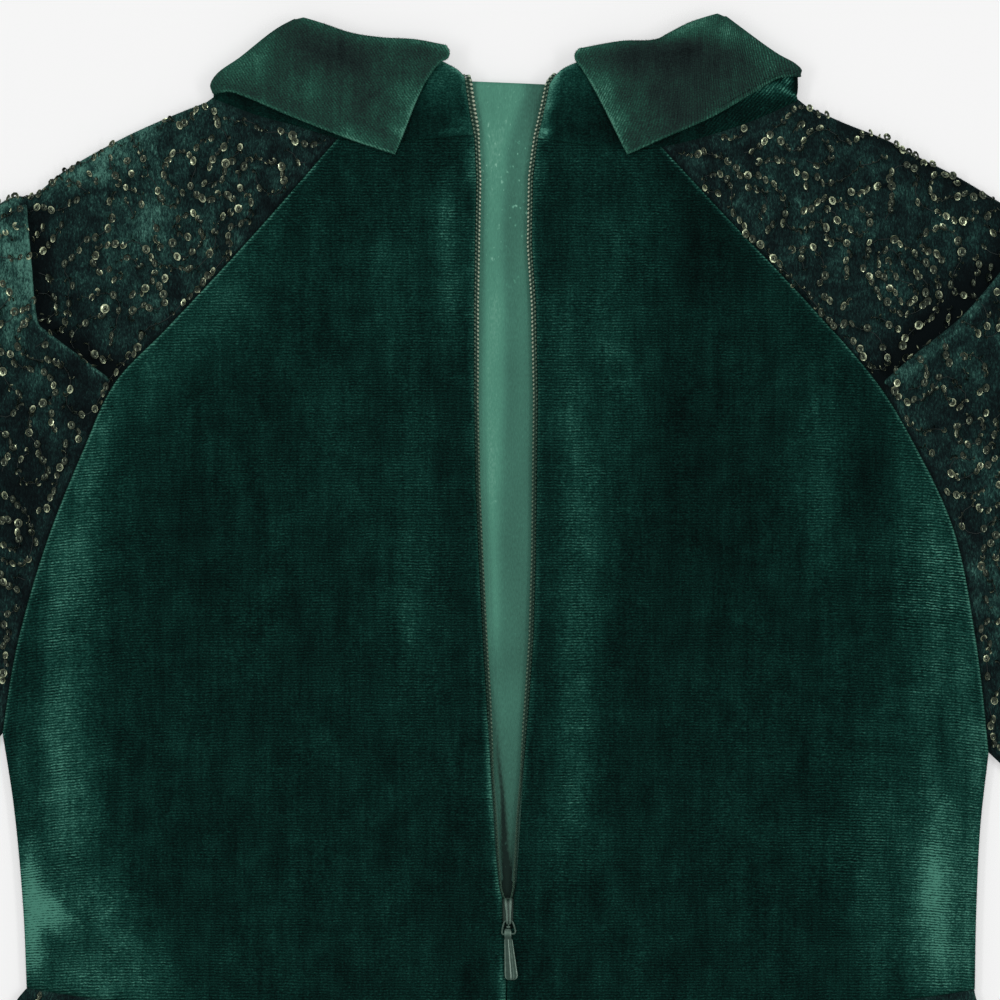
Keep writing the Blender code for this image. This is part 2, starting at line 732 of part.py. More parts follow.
def zip_tape(side, material):
    """A tape under one edge of the opening, held clear of the slider."""
    inward = 1 if side == "left" else -1
    heights = np.concatenate([np.linspace(333, 52, 18), [44, 40, 24, 20, 6, -8]])
    edge = opening_edge(side, heights) + inward * TAPE_SHOWS
    beside = ZIP_X - inward * (SLIDER_WIDTH / 2 + 0.4)
    closed = opening_edge(side, heights)
    inner = np.where(heights > 42, edge, np.where(heights > 22, beside, closed))
    line = np.column_stack([inner, heights])
    outer = line - np.array([inward * TAPE_WIDTH, 0])
    plan = patch(line, outer, 2) if side == "right" else patch(outer, line, 2)
    return panel(f"zip_tape_{side}", plan, tape_layer, TAPE, material)


def circle(x, y, radius, start, end, count):
    angles = np.linspace(start, end, count)
    return [(x + radius * np.cos(angle), y + radius * np.sin(angle)) for angle in angles]


def cloth_top(x, y):
    """Top of the back panels at one place."""
    return float(upper_layer(np.array([[x, y]], float))[0]) + CLOTH / 2


def pull_axis_height():
    return cloth_top(ZIP_X, PULL_AXIS_Y) + GAP + PULL_THICK / 2


def join(base, tool, operation):
    """Adds or cuts a helper shape and hides it."""
    boolean = base.modifiers.new(operation.title(), "BOOLEAN")
    boolean.operation = operation
    boolean.solver = "EXACT"
    boolean.object = tool
    tool.hide_render = True
    tool.display_type = "WIRE"


def zip_slider(material):
    """The slider's plate under the cloth, with a bridge between the zip's edges for the pull."""
    low = float(tape_layer(np.array([[ZIP_X, SLIDER_FOOT]]))[0]) - SLIDER_PLATE / 2
    half = SLIDER_WIDTH / 2
    shield = [(ZIP_X - half, SLIDER_HEAD - 1.4), (ZIP_X - half + 0.9, SLIDER_HEAD + 0.2),
              (ZIP_X + half - 0.9, SLIDER_HEAD + 0.2), (ZIP_X + half, SLIDER_HEAD - 1.4),
              (ZIP_X + half - 0.8, SLIDER_FOOT), (ZIP_X - half + 0.8, SLIDER_FOOT)]
    body = plate("zip_slider", shield, low, low + SLIDER_PLATE, material)
    axis = pull_axis_height()
    rim = BRIDGE_HOLE + BRIDGE_WALL
    side = circle(PULL_AXIS_Y, axis, rim, -np.pi / 2, -1.5 * np.pi, 9)
    middle = low + SLIDER_PLATE / 2
    side += [(SLIDER_HEAD - 1.8, axis + rim), (SLIDER_HEAD - 0.5, axis + rim - 0.7)]
    side += [(SLIDER_HEAD, axis - 0.9), (SLIDER_HEAD, middle), (PULL_AXIS_Y + 0.2, middle)]
    bridge = upright("slider_bridge", side, BRIDGE_WIDTH / 2, material)
    hole = upright("slider_hole", circle(PULL_AXIS_Y, axis, BRIDGE_HOLE, 0, 2 * np.pi, 17)[:-1],
                   BRIDGE_WIDTH, material)
    join(body, bridge, "UNION")
    join(body, hole, "DIFFERENCE")
    return body


def zip_pull(material):
    """Pull tab: an eye that turns in the bridge, a narrow neck and a widening rounded tab."""
    axis = pull_axis_height()
    eye_top = PULL_AXIS_Y + PULL_BAR / 2
    eye_foot = eye_top - PULL_EYE
    half = PULL_EYE / 2
    foot = PULL_FOOT_WIDTH / 2
    foot_x = ZIP_X + PULL_LEAN
    outline = [(ZIP_X - half + 0.5, eye_top), (ZIP_X - half, eye_top - 0.6), (ZIP_X - half, eye_foot + 1.9)]
    outline += [(ZIP_X - half + 0.7, eye_foot + 0.7), (ZIP_X - PULL_NECK / 2, eye_foot - 0.4)]
    outline += circle(foot_x, PULL_FOOT + foot, foot, np.pi, 2 * np.pi, 11)
    outline += [(ZIP_X + PULL_NECK / 2, eye_foot - 0.4), (ZIP_X + half - 0.7, eye_foot + 0.7)]
    outline += [(ZIP_X + half, eye_foot + 1.9), (ZIP_X + half, eye_top - 0.6), (ZIP_X + half - 0.5, eye_top)]
    tab = plate("zip_pull", outline, axis - PULL_THICK / 2, axis + PULL_THICK / 2, material)
    hole_top = eye_top - PULL_BAR
    hole = [(ZIP_X - PULL_HOLE / 2, hole_top), (ZIP_X + PULL_HOLE / 2, hole_top)]
    hole += circle(ZIP_X, hole_top - 1.9, PULL_HOLE / 2, 0, -np.pi, 9)
    cutter = plate("pull_eye", hole, axis - PULL_THICK, axis + PULL_THICK, material)
    join(tab, cutter, "DIFFERENCE")
    hinge = bpy.data.objects.new("pull_hinge", None)
    bpy.context.scene.collection.objects.link(hinge)
    hinge.location = (ZIP_X * MM, PULL_AXIS_Y * MM, axis * MM)
    bpy.context.view_layer.update()
    for piece in (tab, cutter):
        piece.parent = hinge
        piece.matrix_parent_inverse = hinge.matrix_world.inverted()
    return tab


def set_on_surface(root_objects):
    """Moves the whole dress so that its box stands centred on the origin, with its foot at 0."""
    bpy.context.view_layer.update()
    corners = []
    for thing in bpy.context.scene.objects:
        if thing.type == "MESH" and not thing.hide_render:
            corners.extend(thing.matrix_world @ vertex.co for vertex in thing.data.vertices)
    spots = np.array([tuple(corner) for corner in corners])
    low, high = spots.min(axis=0), spots.max(axis=0)
    shift = (-(low[0] + high[0]) / 2, -(low[1] + high[1]) / 2, -low[2])
    for thing in root_objects:
        for axis in range(3):
            thing.location[axis] += shift[axis]


def main():
    for thing in list(bpy.data.objects):
        bpy.data.objects.remove(thing, do_unlink=True)
    velvet = paint("velvet", VELVET)
    sequined = paint("sequined_velvet", SEQUINED)
    metal = paint("zip_metal", ZIP_METAL)
    tape = paint("zip_tape", TAPE_LOOK)
    for side in ("left", "right"):
        back_panel(side, velvet)
        sleeve(side, sequined)
        collar_fall(side, velvet)
        zip_tape(side, tape)
    front_panel(velvet)
    lining_panel(paint("lining", LINING_LOOK))
    collar_stand(velvet)
    skirt_panel("skirt_back", upper_layer, SKIRT_COLUMNS, sequined)
    skirt_panel("skirt_front", lower_layer, FRONT_PANEL_COLUMNS, sequined)
    zip_slider(metal)
    zip_pull(metal)
    set_on_surface([thing for thing in bpy.context.scene.objects if thing.parent is None])


main()
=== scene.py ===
"""The looks of the velvet dress: finer cloth on the forms of its solids, pile, sequins and zip.

Plan sizes are in millimetres, as in the part's own source: x runs out from the zip, y up from
the waist seam towards the collar, and z up from the surface. Every panel is built again from
the same outlines, in small faces, with its creases, and with light and shade painted into the
colour of its pile.
"""
from collections import namedtuple

import bpy
import numpy as np
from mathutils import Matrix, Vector


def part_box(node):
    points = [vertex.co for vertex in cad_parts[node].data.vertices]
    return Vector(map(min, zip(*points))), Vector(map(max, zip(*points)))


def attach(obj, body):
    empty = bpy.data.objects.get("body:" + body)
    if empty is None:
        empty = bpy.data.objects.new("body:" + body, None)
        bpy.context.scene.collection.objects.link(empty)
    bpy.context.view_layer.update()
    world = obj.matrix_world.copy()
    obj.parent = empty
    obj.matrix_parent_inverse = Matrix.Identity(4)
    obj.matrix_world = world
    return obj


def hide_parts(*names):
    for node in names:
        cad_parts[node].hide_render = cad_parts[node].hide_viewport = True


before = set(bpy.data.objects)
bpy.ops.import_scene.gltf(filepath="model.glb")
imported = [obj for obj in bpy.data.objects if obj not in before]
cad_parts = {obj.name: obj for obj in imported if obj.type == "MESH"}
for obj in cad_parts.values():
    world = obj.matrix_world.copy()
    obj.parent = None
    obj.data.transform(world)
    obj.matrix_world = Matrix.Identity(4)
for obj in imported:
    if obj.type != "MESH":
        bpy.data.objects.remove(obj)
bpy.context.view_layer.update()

MM = 0.001

# The solids' box gives the shift from plan sizes to the frame: skirt's side and lowest hem.
HEM_HALF = 252
HEM_LOW = -432
LOW_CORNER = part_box("skirt_front")[0]
SHIFT = np.array([LOW_CORNER[0] / MM + HEM_HALF, LOW_CORNER[1] / MM - HEM_LOW, 0.0])

# Sides as the back is seen from above, and which way each lies from the zip.
SIDES = ("left", "right")
OUTWARD = {"left": -1, "right": 1}

# Thicknesses and clearances, and how far from an edge the cloth rolls down to it.
CLOTH = 1.2
LINING = 1.0
TAPE = 0.8
GAP = 0.3
AIR = 2.6
EDGE_ROLL = 12.0
COLLAR_ROLL = 4.0

# Outlines and seams, as in the solids.
RAGLAN = {
    "left": ((-60.5, 310.2), (-90.5, 276), (-122, 242), (-141, 222), (-152, 198.5),
             (-165, 166), (-176, 128), (-181.5, 96)),
    "right": ((56, 307), (76, 285.5), (110.5, 249), (134.5, 221), (146, 202),
              (161, 170), (169, 131), (174, 89)),
}
SIDE = {
    "left": ((-181.5, 96), (-177.5, 70), (-174, 32), (-172.8, 4.3)),
    "right": ((174, 89), (171, 62), (169.5, 30), (169, 2)),
}
NECK_SIDE = {
    "left": ((-105, 324.4), (-90, 318.6), (-76, 314.8), (-60.5, 310.2)),
    "right": ((104.8, 323.6), (91.5, 317.6), (74.5, 311.6), (56, 307)),
}
NECK_BACK = {
    "left": ((-60.5, 310.2), (-35, 309.4), (-11.4, 311.5)),
    "right": ((56, 307), (34, 307.4), (11.5, 310.2)),
}
SLEEVE_TOP = {
    "left": ((-106, 324), (-117.5, 319.6), (-139, 310), (-160.5, 297.8), (-171.7, 289.4),
             (-177, 289.6), (-183, 286.5), (-228, 245), (-281, 179), (-507, -100)),
    "right": ((106, 323), (121.5, 316), (138, 309.4), (150, 303), (163, 296.4), (178, 287.4),
              (192, 279), (226, 246), (276, 180), (503, -100)),
}
BICEP_ROW = 8
UNDERARM = {
    "left": ((-181.5, 96), (-196, 78), (-300, -24), (-438, -157)),
    "right": ((174, 89), (190, 74), (296, -24), (434, -157)),
}
Flare = namedtuple("Flare", "drop left right")
SKIRT_SIDE = (
    Flare(0, 172.6, 168.6),
    Flare(4.3, 176.2, 169.6),
    Flare(14, 181.5, 174),
    Flare(60, 192, 188),
    Flare(200, 216, 214),
    Flare(422.3, 252, 252),
)
WAIST_END = 4.3
WAIST_DIP = 14.5
WAIST_HALF = 174
HEM_SIDE = 418
HEM_DIP = 14
Edge = namedtuple("Edge", "height left right")
OPENING = (
    Edge(334, -15.1, 16.6),
    Edge(322, -13.4, 14.1),
    Edge(311, -11.4, 11.5),
    Edge(296, -10.6, 9.7),
    Edge(272, -11.1, 9.3),
    Edge(250, -11.5, 10.8),
    Edge(217, -11.5, 11.5),
    Edge(186, -10.5, 11.1),
    Edge(160, -9.4, 10.8),
    Edge(130, -7.9, 9.9),
    Edge(107, -6.5, 8.3),
    Edge(80, -5.4, 6.1),
    Edge(52, -3.6, 4.4),
    Edge(40, -2.4, 3.5),
    Edge(36.8, -1.3, 2.7),
    Edge(26.4, -1.2, 2.6),
    Edge(23.5, 0.45, 0.75),
    Edge(-10, -0.15, 0.15),
)
FALL_END = {
    "left": ((-21.5, 343.7), (-20.2, 341.2), (-20.8, 338.8), (-23.8, 337.2), (-40, 304.2)),
    "right": ((26.2, 342.5), (24.7, 340.4), (24.9, 338.0), (27.0, 335.4), (43.6, 304.2)),
}
FALL_ROLL = {
    "left": ((-21.5, 343.7), (-32.8, 345.8), (-44.5, 346.5), (-55.8, 348.2), (-66, 351.6), (-74.5, 354.2)),
    "right": ((26.2, 342.5), (41.4, 345.2), (54.8, 346.1), (57.6, 347.6), (66, 351.9), (77.6, 355.6)),
}
FALL_FOLD = {
    "left": ((-74.5, 354.2), (-82.4, 350), (-96, 339.4), (-104.9, 332.8), (-106.6, 329.6), (-105.6, 325.8)),
    "right": ((77.6, 355.6), (84, 350.8), (98.2, 340.6), (104.6, 337.0), (106.5, 335.0), (106.2, 332.4)),
}
FALL_LOWER = {
    "left": ((-40, 304.2), (-56, 309.6), (-78, 318.2), (-94.5, 325.2), (-99.4, 326.8), (-105.6, 325.8)),
    "right": ((43.6, 304.2), (56, 309.7), (75, 318.2), (89.6, 326.8), (98, 331.6), (106.2, 332.4)),
}
FRONT_ROLL = ((-62, 347), (-50, 341), (-40, 336), (-20, 329.4), (-0.15, 327.4))
FRONT_LOWER = ((-86, 321), (-56, 309), (-30, 300), (-0.15, 294))
FRONT_FALL_EDGE = ((0, 294), (30, 300), (56, 309), (86, 320.5), (105, 325))
STAND_SHORT = 4.2
STAND_DROP = 5.4
STAND_TOP = {"left": 332.3, "right": 329.8}
STAND_BEND = {"left": ((-16.2, 333.8), (-18.2, 335.4)), "right": ((17.9, 332.8), (20.8, 335.4))}
TAPE_TOP = {"left": 332, "right": 328.8}
NECK_TRIM = 0.2
FALL_TRIM = 3.6
STAND_TRIM = 5.2
SEAM_TRIM = 0.6
FALL_LIFT = 0.1
STAND_SLACK = 0.7
COLLAR_LIFT = 55
COLLAR_CLEAR = 5
NECK_REACH = 165
LINING_TOP = {"left": 331.6, "right": 329}
LINING_FOOT = 18
LINING_MARGIN = 16
TAPE_WIDTH = 11
ZIP_X = 0.7
SLIDER_HALF = 3.4

# Soft ridges (height above 0) and troughs: both ends, half width and height.
FOLDS = (
    (27, 262, 22, 48, 12, 0.7),
    (-27, 262, -24, 60, 13, 0.5),
    (118, 236, 152, 60, 16, 0.7),
    (-152, 192, -151, 22, 15, 0.6),
    (-66, 286, -128, 214, 14, 0.5),
    (-117, 306, -96, 262, 9, 0.7),
    (-147, 292, -134, 246, 8, 0.6),
    (140, 298, 122, 252, 9, 0.6),
    (-262, 172, -330, 44, 16, 0.6),
    (-322, 92, -430, -62, 14, -0.7),
    (262, 168, 322, 52, 16, 0.6),
    (330, 84, 432, -66, 14, -0.7),
    (-128, -40, -176, -404, 20, 0.8),
    (-72, -36, -98, -408, 18, -0.9),
    (-18, -44, -24, -412, 19, 0.8),
    (40, -38, 58, -410, 17, -0.9),
    (92, -42, 130, -406, 20, 0.8),
    (138, -34, 196, -402, 16, -0.7),
)
# Finer creases that the solids don't have.
CREASES = (
    (-44, 256, -46, 84, 5, -0.25),
    (-98, 240, -92, 120, 7, 0.3),
    (60, 270, 66, 130, 7, -0.3),
    (158, 116, 160, 72, 2.4, -0.5),
    (155, 66, 158, 10, 2.6, 0.6),
    (149, 60, 151, 12, 2.4, -0.3),
    (-162, 60, -156, 12, 5, 0.4),
    (92, 132, 88, 26, 8, 0.3),
    (-126, 120, -118, 24, 8, -0.25),
    (-176, 262, -172, 236, 3, -0.6),
    (-150, 268, -147, 238, 5, 0.5),
    (168, 276, 158, 258, 4, -0.5),
    (152, 280, 140, 256, 5, 0.4),
    (-214, 232, -236, 186, 6, 0.6),
    (-236, 214, -262, 168, 5, -0.5),
    (-196, 200, -214, 156, 5, -0.4),
    (-250, 120, -306, 34, 7, -0.5),
    (-300, 150, -352, 78, 6, 0.6),
    (-348, 30, -404, -52, 6, 0.5),
    (-388, 10, -450, -70, 5, 0.5),
    (212, 226, 236, 180, 6, 0.6),
    (238, 206, 262, 160, 5, -0.5),
    (192, 194, 212, 150, 5, -0.4),
    (250, 112, 304, 28, 7, -0.5),
    (296, 146, 348, 74, 6, 0.6),
    (346, 26, 400, -56, 6, 0.5),
    (386, 4, 446, -74, 5, 0.5),
    (-150, -12, -158, -150, 7, 0.6),
    (-104, -14, -112, -180, 8, -0.6),
    (-50, -16, -56, -220, 8, 0.6),
    (14, -18, 18, -200, 7, 0.5),
    (68, -16, 76, -170, 8, 0.6),
    (118, -14, 134, -210, 8, -0.6),
    (-200, -240, -214, -400, 9, 0.7),
    (-146, -260, -158, -410, 8, -0.6),
    (160, -250, 174, -404, 9, 0.7),
    (214, -220, 230, -396, 8, -0.6),
)
FOLD_TAPER = 0.3

# Where a sleeve is turned down, its lower part lies over the shoulder in a lip.
# Each lip's line, and the strengths of highlights painted near it: crest beyond its edge, glint on its
# turned edge.
Lip = namedtuple("Lip", "line crest glint")
LIPS = {
    "left": Lip(((-173.5, 293), (-171, 264), (-169.2, 246), (-168.2, 242.8), (-165.6, 240.6),
                 (-155, 232.5), (-141, 222)), 0.12, 1.0),
    "right": Lip(((192, 281), (177.5, 261), (163.4, 245), (149, 233.5), (134.5, 221)), 0.0, 0.7),
}
LIP_STEPS = 41
LIP_RISE = 2.0
LIP_RUN = 14
LIP_SINK = 2.4
LIP_DIP = 8
LIP_EASE = 0.7
LIP_FADE = 8
# Painted highlight beyond each lip's edge: place and half width; painted shade in the valley before it:
# strength, half width and where it ends.
LIP_HIGHLIGHT_PLACE = 8
LIP_HIGHLIGHT_WIDTH = 6
VALLEY_SHADE = -0.62
VALLEY_WIDTH = 7
VALLEY_END = 3

# Painted light and shade on the pile: a stroke's line, its half width and its strength, above 0 where light
# is painted and below 0 where shade is painted.
BODICE_PAINTED_LIGHT = (
    (((-148, 196), (-158, 158), (-163, 115), (-163, 76), (-163, 40)), 12, 0.32),
    (((-143, 218), (-147, 200), (-152, 178)), 5, 0.16),
    (((-169, 146), (-169, 110), (-167, 66)), 5, -0.18),
    (((-171.6, 54), (-171, 4)), 4.5, 0.50),
    (((-168, 27), (-160, 36)), 9, 0.50),
    (((-150, 44), (-146, 38)), 8, 0.08),
    (((-146, 14), (-117, 18)), 14, 0.14),
    (((-158, 112), (-156, 70), (-152, 36), (-146, 4)), 15, 0.12),
    (((-146, 44), (-143, 30), (-136, 16)), 7, 0.16),
    (((-158, 62), (-156, 50)), 5, 0.10),
    (((-172, 60), (-171, 20)), 3, 0.14),
    (((-168, 14), (-148, 2), (-112, -6)), 14, 0.24),
    (((-85, 277), (-99, 259), (-112, 242), (-128, 225), (-144, 203)), 11, 0.20),
    (((-22, 297), (-20, 270), (-19, 240)), 6.5, 0.24),
    (((-40, 282), (-42, 232)), 12, 0.13),
    (((-34, 226), (-34, 128)), 10, 0.09),
    (((-60, 226), (-56, 170)), 9, 0.06),
    (((-36, 152), (-36, 100)), 6, 0.11),
    (((-104, 252), (-100, 232)), 10, 0.07),
    (((-36, 28), (-34, 8)), 6, 0.06),
    (((-116, 190), (-112, 160)), 12, -0.05),
    (((-16, 70), (-14, -8)), 10, -0.05),
    (((-2.6, 68), (-2.2, 31)), 1.7, 0.26),
    (((-7.6, 108), (-6.6, 92), (-4.8, 62)), 1.6, 0.26),
    (((-1.5, 20), (-1.3, -9)), 1.3, 0.26),
    (((-13.4, 309), (-12.4, 292)), 2.2, 0.22),
    (((16.4, 310.6), (12.6, 309.4)), 1.2, 0.24),
    (((13.2, 306), (11.2, 286)), 2.2, 0.16),
    (((3.4, 26), (3.2, -9)), 3.2, -0.12),
    (((19, 250), (22.4, 202), (25, 158), (26.6, 115), (27, 79), (26, 50)), 9.0, 0.25),
    (((18, 216), (19.4, 144)), 3.4, -0.09),
    (((33, 104), (34, 62)), 4.5, -0.10),
    (((33, 208), (35, 158)), 4.5, 0.07),
    (((64, 300), (69, 250)), 6, -0.10),
    (((109, 232), (106, 214)), 6, -0.10),
    (((131, 216), (140, 176)), 4.5, -0.11),
    (((121, 206), (122, 160)), 4.5, -0.10),
    (((132, 94), (134, 0)), 9, 0.17),
    (((145, 34), (146, 4)), 6, 0.12),
    (((170, 102), (171.5, 74)), 4, 0.22),
    (((158, 142), (159, 112)), 4, -0.12),
    (((22, 86), (20, 48)), 7, 0.10),
    (((37, 290), (34, 222)), 15, 0.12),
    (((42, 246), (43, 190)), 9, 0.13),
    (((74, 292), (78, 250)), 8, -0.13),
    (((62, 240), (68, 190), (72, 144)), 18, -0.09),
    (((44, 150), (48, 70)), 14, -0.05),
    (((104, 236), (113, 210), (115, 152)), 8.5, 0.17),
    (((127, 211), (128.5, 178)), 4.5, -0.14),
    (((138, 206), (151, 180), (159, 132), (161, 86), (160, 43), (160, 12)), 13, 0.28),
    (((158, 220), (166, 186), (171, 130)), 5, 0.10),
    (((146, 118), (149, 80)), 8, 0.06),
    (((152, 66), (153.5, 44), (156, 18), (158, -8)), 9, 0.34),
    (((153, 48), (155, 32)), 6, 0.12),
    (((168, 76), (167, 34), (167, -6)), 4.5, 0.20),
    (((156, 112), (158.5, 72)), 2.2, -0.18),
    (((164, 88), (166, 40)), 2.6, -0.12),
    (((153.5, 66), (156, 10)), 2.0, 0.08),
)
# Painted light and shade on the collar's fall.
COLLAR_PAINTED_LIGHT = (
    (((-78, 344), (-46, 338)), 6, -0.17),
    (((-49, 322), (-45, 320)), 4, 0.10),
    (((-32, 336), (-36, 315)), 2.5, 0.12),
    (((54, 324), (70, 314)), 7, -0.12),
    (((-51, 326), (-48, 323)), 6, -0.10),
    (((-74, 330), (-66, 325)), 7, 0.12),
    (((-38, 331), (-32, 317)), 6, 0.16),
    (((-39, 310), (-37, 314)), 5, 0.26),
    (((-103, 329), (-92, 337), (-82, 345)), 6, 0.20),
    (((-60, 312), (-44, 307)), 3.5, 0.14),
    (((36, 340), (60, 339), (80, 335)), 6.5, -0.24),
    (((50, 330), (72, 326)), 7, -0.12),
    (((60, 343), (72, 342)), 3.5, -0.14),
    (((78, 326), (92, 330)), 6, -0.04),
    (((31, 336), (36, 325), (42, 312)), 5, 0.26),
    (((37, 318), (42, 309)), 4, 0.14),
    (((58, 347), (72, 350), (84, 347)), 4, 0.20),
    (((86, 347), (100, 336)), 5, 0.16),
)
# Painted light and shade on the stand.
STAND_PAINTED_LIGHT = (
    (((82, 326), (92, 328.6), (99, 326.5)), 3.4, 0.50),
    (((96.4, 330.2), (100, 327.6), (105.2, 324.6)), 0.8, 0.55),
    (((101, 333.4), (101.4, 329.4)), 2.0, 0.60),
    (((104.2, 334), (104.8, 326.4)), 0.9, -0.50),
    (((17.4, 314.5), (13.6, 311)), 1.6, 0.26),
    (((-17, 318), (-14, 313.4)), 2.2, 0.24),
    (((-24, 312.4), (-14, 313)), 1.2, 0.22),
    (((14.6, 314), (13.6, 311.6)), 1.8, 0.30),
    (((18, 333), (15.5, 318)), 2.2, 0.14),
    (((-20, 336), (-26, 327)), 3, 0.10),
)
# Painted light and shade on the sleeves.
SLEEVE_PAINTED_LIGHT = (
    (((-154, 301), (-150, 290)), 7, 0.20),
    (((-128, 302), (-118, 262)), 22, 0.10),
    (((-172, 214), (-176, 130)), 16, -0.09),
    (((-158, 226), (-152, 204)), 5, -0.12),
    (((-178, 196), (-178, 150)), 9, -0.12),
    (((168, 164), (173, 130)), 8, 0.12),
    (((-176, 288), (-175, 262), (-171, 240)), 9, 0.26),
    (((-172, 236), (-158, 225), (-146, 216)), 6, -0.10),
    (((-150, 300), (-128, 306)), 9, 0.14),
    (((-122, 312), (-140, 298)), 6, 0.10),
    (((-138, 290), (-136, 262)), 8, 0.10),
    (((182, 266), (166, 245), (150, 231), (136, 220)), 1.7, 0.30),
    (((170, 262), (156, 246), (142, 234)), 5.5, -0.30),
    (((186, 262), (168, 240)), 5, -0.10),
    (((120, 316), (150, 303), (176, 289), (190, 280)), 7, -0.26),
)
STROKE_STEPS = 31
STROKE_TAPER = 0.25
STROKE_END = 0.35

# Where the ribs of the back show more or less than elsewhere.
WALE_STROKES = (
    (((-112, 236), (-110, 216)), 26, -0.42),
    (((-150, 160), (-152, 130)), 20, 0.28),
    (((-96, 176), (-96, 168)), 24, -0.18),
    (((-125, 74), (-124, 52)), 28, -0.14),
    (((-34, 180), (-33, 120)), 16, 0.16),
    (((84, 170), (84, 130)), 30, -0.32),
    (((105, 232), (106, 214)), 18, -0.24),
    (((152, 166), (155, 130)), 18, 0.75),
    (((118, 76), (122, 36)), 22, 0.55),
    (((55, 270), (55, 254)), 16, 0.14),
)

# How finely the cloth is divided.
RAGLAN_ROWS = 100
SIDE_ROWS = 36
ARM_ROWS = 70
PANEL_COLUMNS = 84
FRONT_PANEL_COLUMNS = 48
FRONT_ROWS = (40, 14)
SLEEVE_COLUMNS = 60
UNDER_COLUMNS = 16
FOLD_STEPS = 8
SKIRT_ROWS = 90
SKIRT_COLUMNS = 112
SKIRT_FRONT = (30, 40)
COLLAR_COLUMNS = 56
COLLAR_ROWS = 40
FRONT_COLUMNS = 16
STAND_ROWS = 34
LINING_ROWS = 130
LINING_COLUMNS = 44
TAPE_ROWS = 120
DENSE = 0.86


# Curves and surfaces in plan.

SPAN_STEPS = 24
FINE_STEPS = 400
CHUNK = 4000


def along(rows, spacing):
    """Points on a smooth curve through the rows: a count of even ones, or shares of its length."""
    shares = np.linspace(0, 1, spacing) if isinstance(spacing, int) else np.asarray(spacing)
    knots = np.asarray(rows, float)
    if len(knots) == 2:
        return spread(knots, shares)
    reach = np.vstack([2 * knots[0] - knots[1], knots, 2 * knots[-1] - knots[-2]])
    spans = []
    for before, start, end, after in zip(reach, reach[1:], reach[2:], reach[3:]):
        first = np.linalg.norm(start - before)
        middle = np.linalg.norm(end - start)
        last = np.linalg.norm(after - end)
        leave = middle * ((start - before) / first + (end - start) / middle) / 2
        arrive = middle * ((end - start) / middle + (after - end) / last) / 2
        share = np.linspace(0, 1, SPAN_STEPS, endpoint=False)[:, None]
        spans.append((2 * share**3 - 3 * share**2 + 1) * start
                     + (share**3 - 2 * share**2 + share) * leave
                     + (3 * share**2 - 2 * share**3) * end
                     + (share**3 - share**2) * arrive)
    return spread(np.vstack(spans + [knots[-1:]]), shares)


def spread(line, shares):
    """Points of a polyline at the given shares of its length."""
    steps = np.linalg.norm(np.diff(line, axis=0), axis=1)
    travelled = np.concatenate([[0], np.cumsum(steps)])
    wanted = np.asarray(shares) * travelled[-1]
    return np.column_stack([np.interp(wanted, travelled, values) for values in line.T])


def trimmed(rows, shares, cut):
    """Points on a smooth curve that stops short of its last row."""
    fine = along(rows, FINE_STEPS)
    length = np.linalg.norm(np.diff(fine, axis=0), axis=1).sum()
    return spread(fine, shares * (1 - cut / length))


def graded(count, start=True, end=True):
    """Shares from 0 to 1 that lie close together at one end or both."""
    even = np.linspace(0, 1, count + 1)
    if start and end:
        return even - DENSE * np.sin(2 * np.pi * even) / (2 * np.pi)
    if start:
        return even - DENSE * (np.sin(np.pi * even / 2 + np.pi / 2) - 1 + even)
    return (1 - graded(count, True, False))[::-1]


def normals(line):
    """Unit normals of a polyline, to the left of its direction."""
    run = np.gradient(line, axis=0)
    run /= np.linalg.norm(run, axis=1)[:, None]
    return np.column_stack([-run[:, 1], run[:, 0]])


def shares_of(line):
    """Share of a line's length at each of its points."""
    travelled = np.concatenate([[0], np.cumsum(np.linalg.norm(np.diff(line, axis=0), axis=1))])
    return travelled / travelled[-1]


def patch(left, right, shares, first=None, last=None):
    """A surface between four lines: rows run from left to right, at the given shares."""
    share = shares[:, None]
    if first is None:
        first = left[0] * (1 - share) + right[0] * share
    if last is None:
        last = left[-1] * (1 - share) + right[-1] * share
    first = first + (1 - share) * (left[0] - first[0]) + share * (right[0] - first[-1])
    last = last + (1 - share) * (left[-1] - last[0]) + share * (right[-1] - last[-1])
    down = ((shares_of(left) + shares_of(right)) / 2)[:, None, None]
    across = shares[None, :, None]
    ruled = (1 - down) * first[None] + down * last[None]
    sides = (1 - across) * left[:, None] + across * right[:, None]
    corners = ((1 - down) * ((1 - across) * first[0] + across * first[-1])
               + down * ((1 - across) * last[0] + across * last[-1]))
    return ruled + sides - corners


def nearest(points, line):
    """Distance, side (1 left of the line, -1 right), way along the line and the line's length."""
    flat = points.reshape(-1, 2)
    starts = line[:-1]
    runs = line[1:] - starts
    lengths = np.linalg.norm(runs, axis=1)
    travelled = np.concatenate([[0], np.cumsum(lengths)])
    gap, turn, way = (np.empty(len(flat)) for _ in range(3))
    for begin in range(0, len(flat), CHUNK):
        part = slice(begin, min(begin + CHUNK, len(flat)))
        offset = flat[part, None] - starts[None]
        share = np.clip((offset * runs).sum(2) / lengths**2, 0, 1)
        gaps = np.linalg.norm(offset - share[..., None] * runs, axis=2)
        best = gaps.argmin(1)
        every = np.arange(len(best))
        gap[part] = gaps[every, best]
        off = offset[every, best]
        turn[part] = np.sign(runs[best, 0] * off[:, 1] - runs[best, 1] * off[:, 0])
        way[part] = travelled[best] + share[every, best] * lengths[best]
    shape = points.shape[:-1]
    return gap.reshape(shape), turn.reshape(shape), way.reshape(shape), travelled[-1]


def ease(value):
    """0 below 0, 1 above 1 and a soft S between."""
    value = np.clip(value, 0, 1)
    return value * value * (3 - 2 * value)


def roll(distance, reach):
    """0 at an edge, 1 at the reach and beyond, steep at the edge."""
    return np.sin(np.clip(distance / reach, 0, 1) * np.pi / 2)


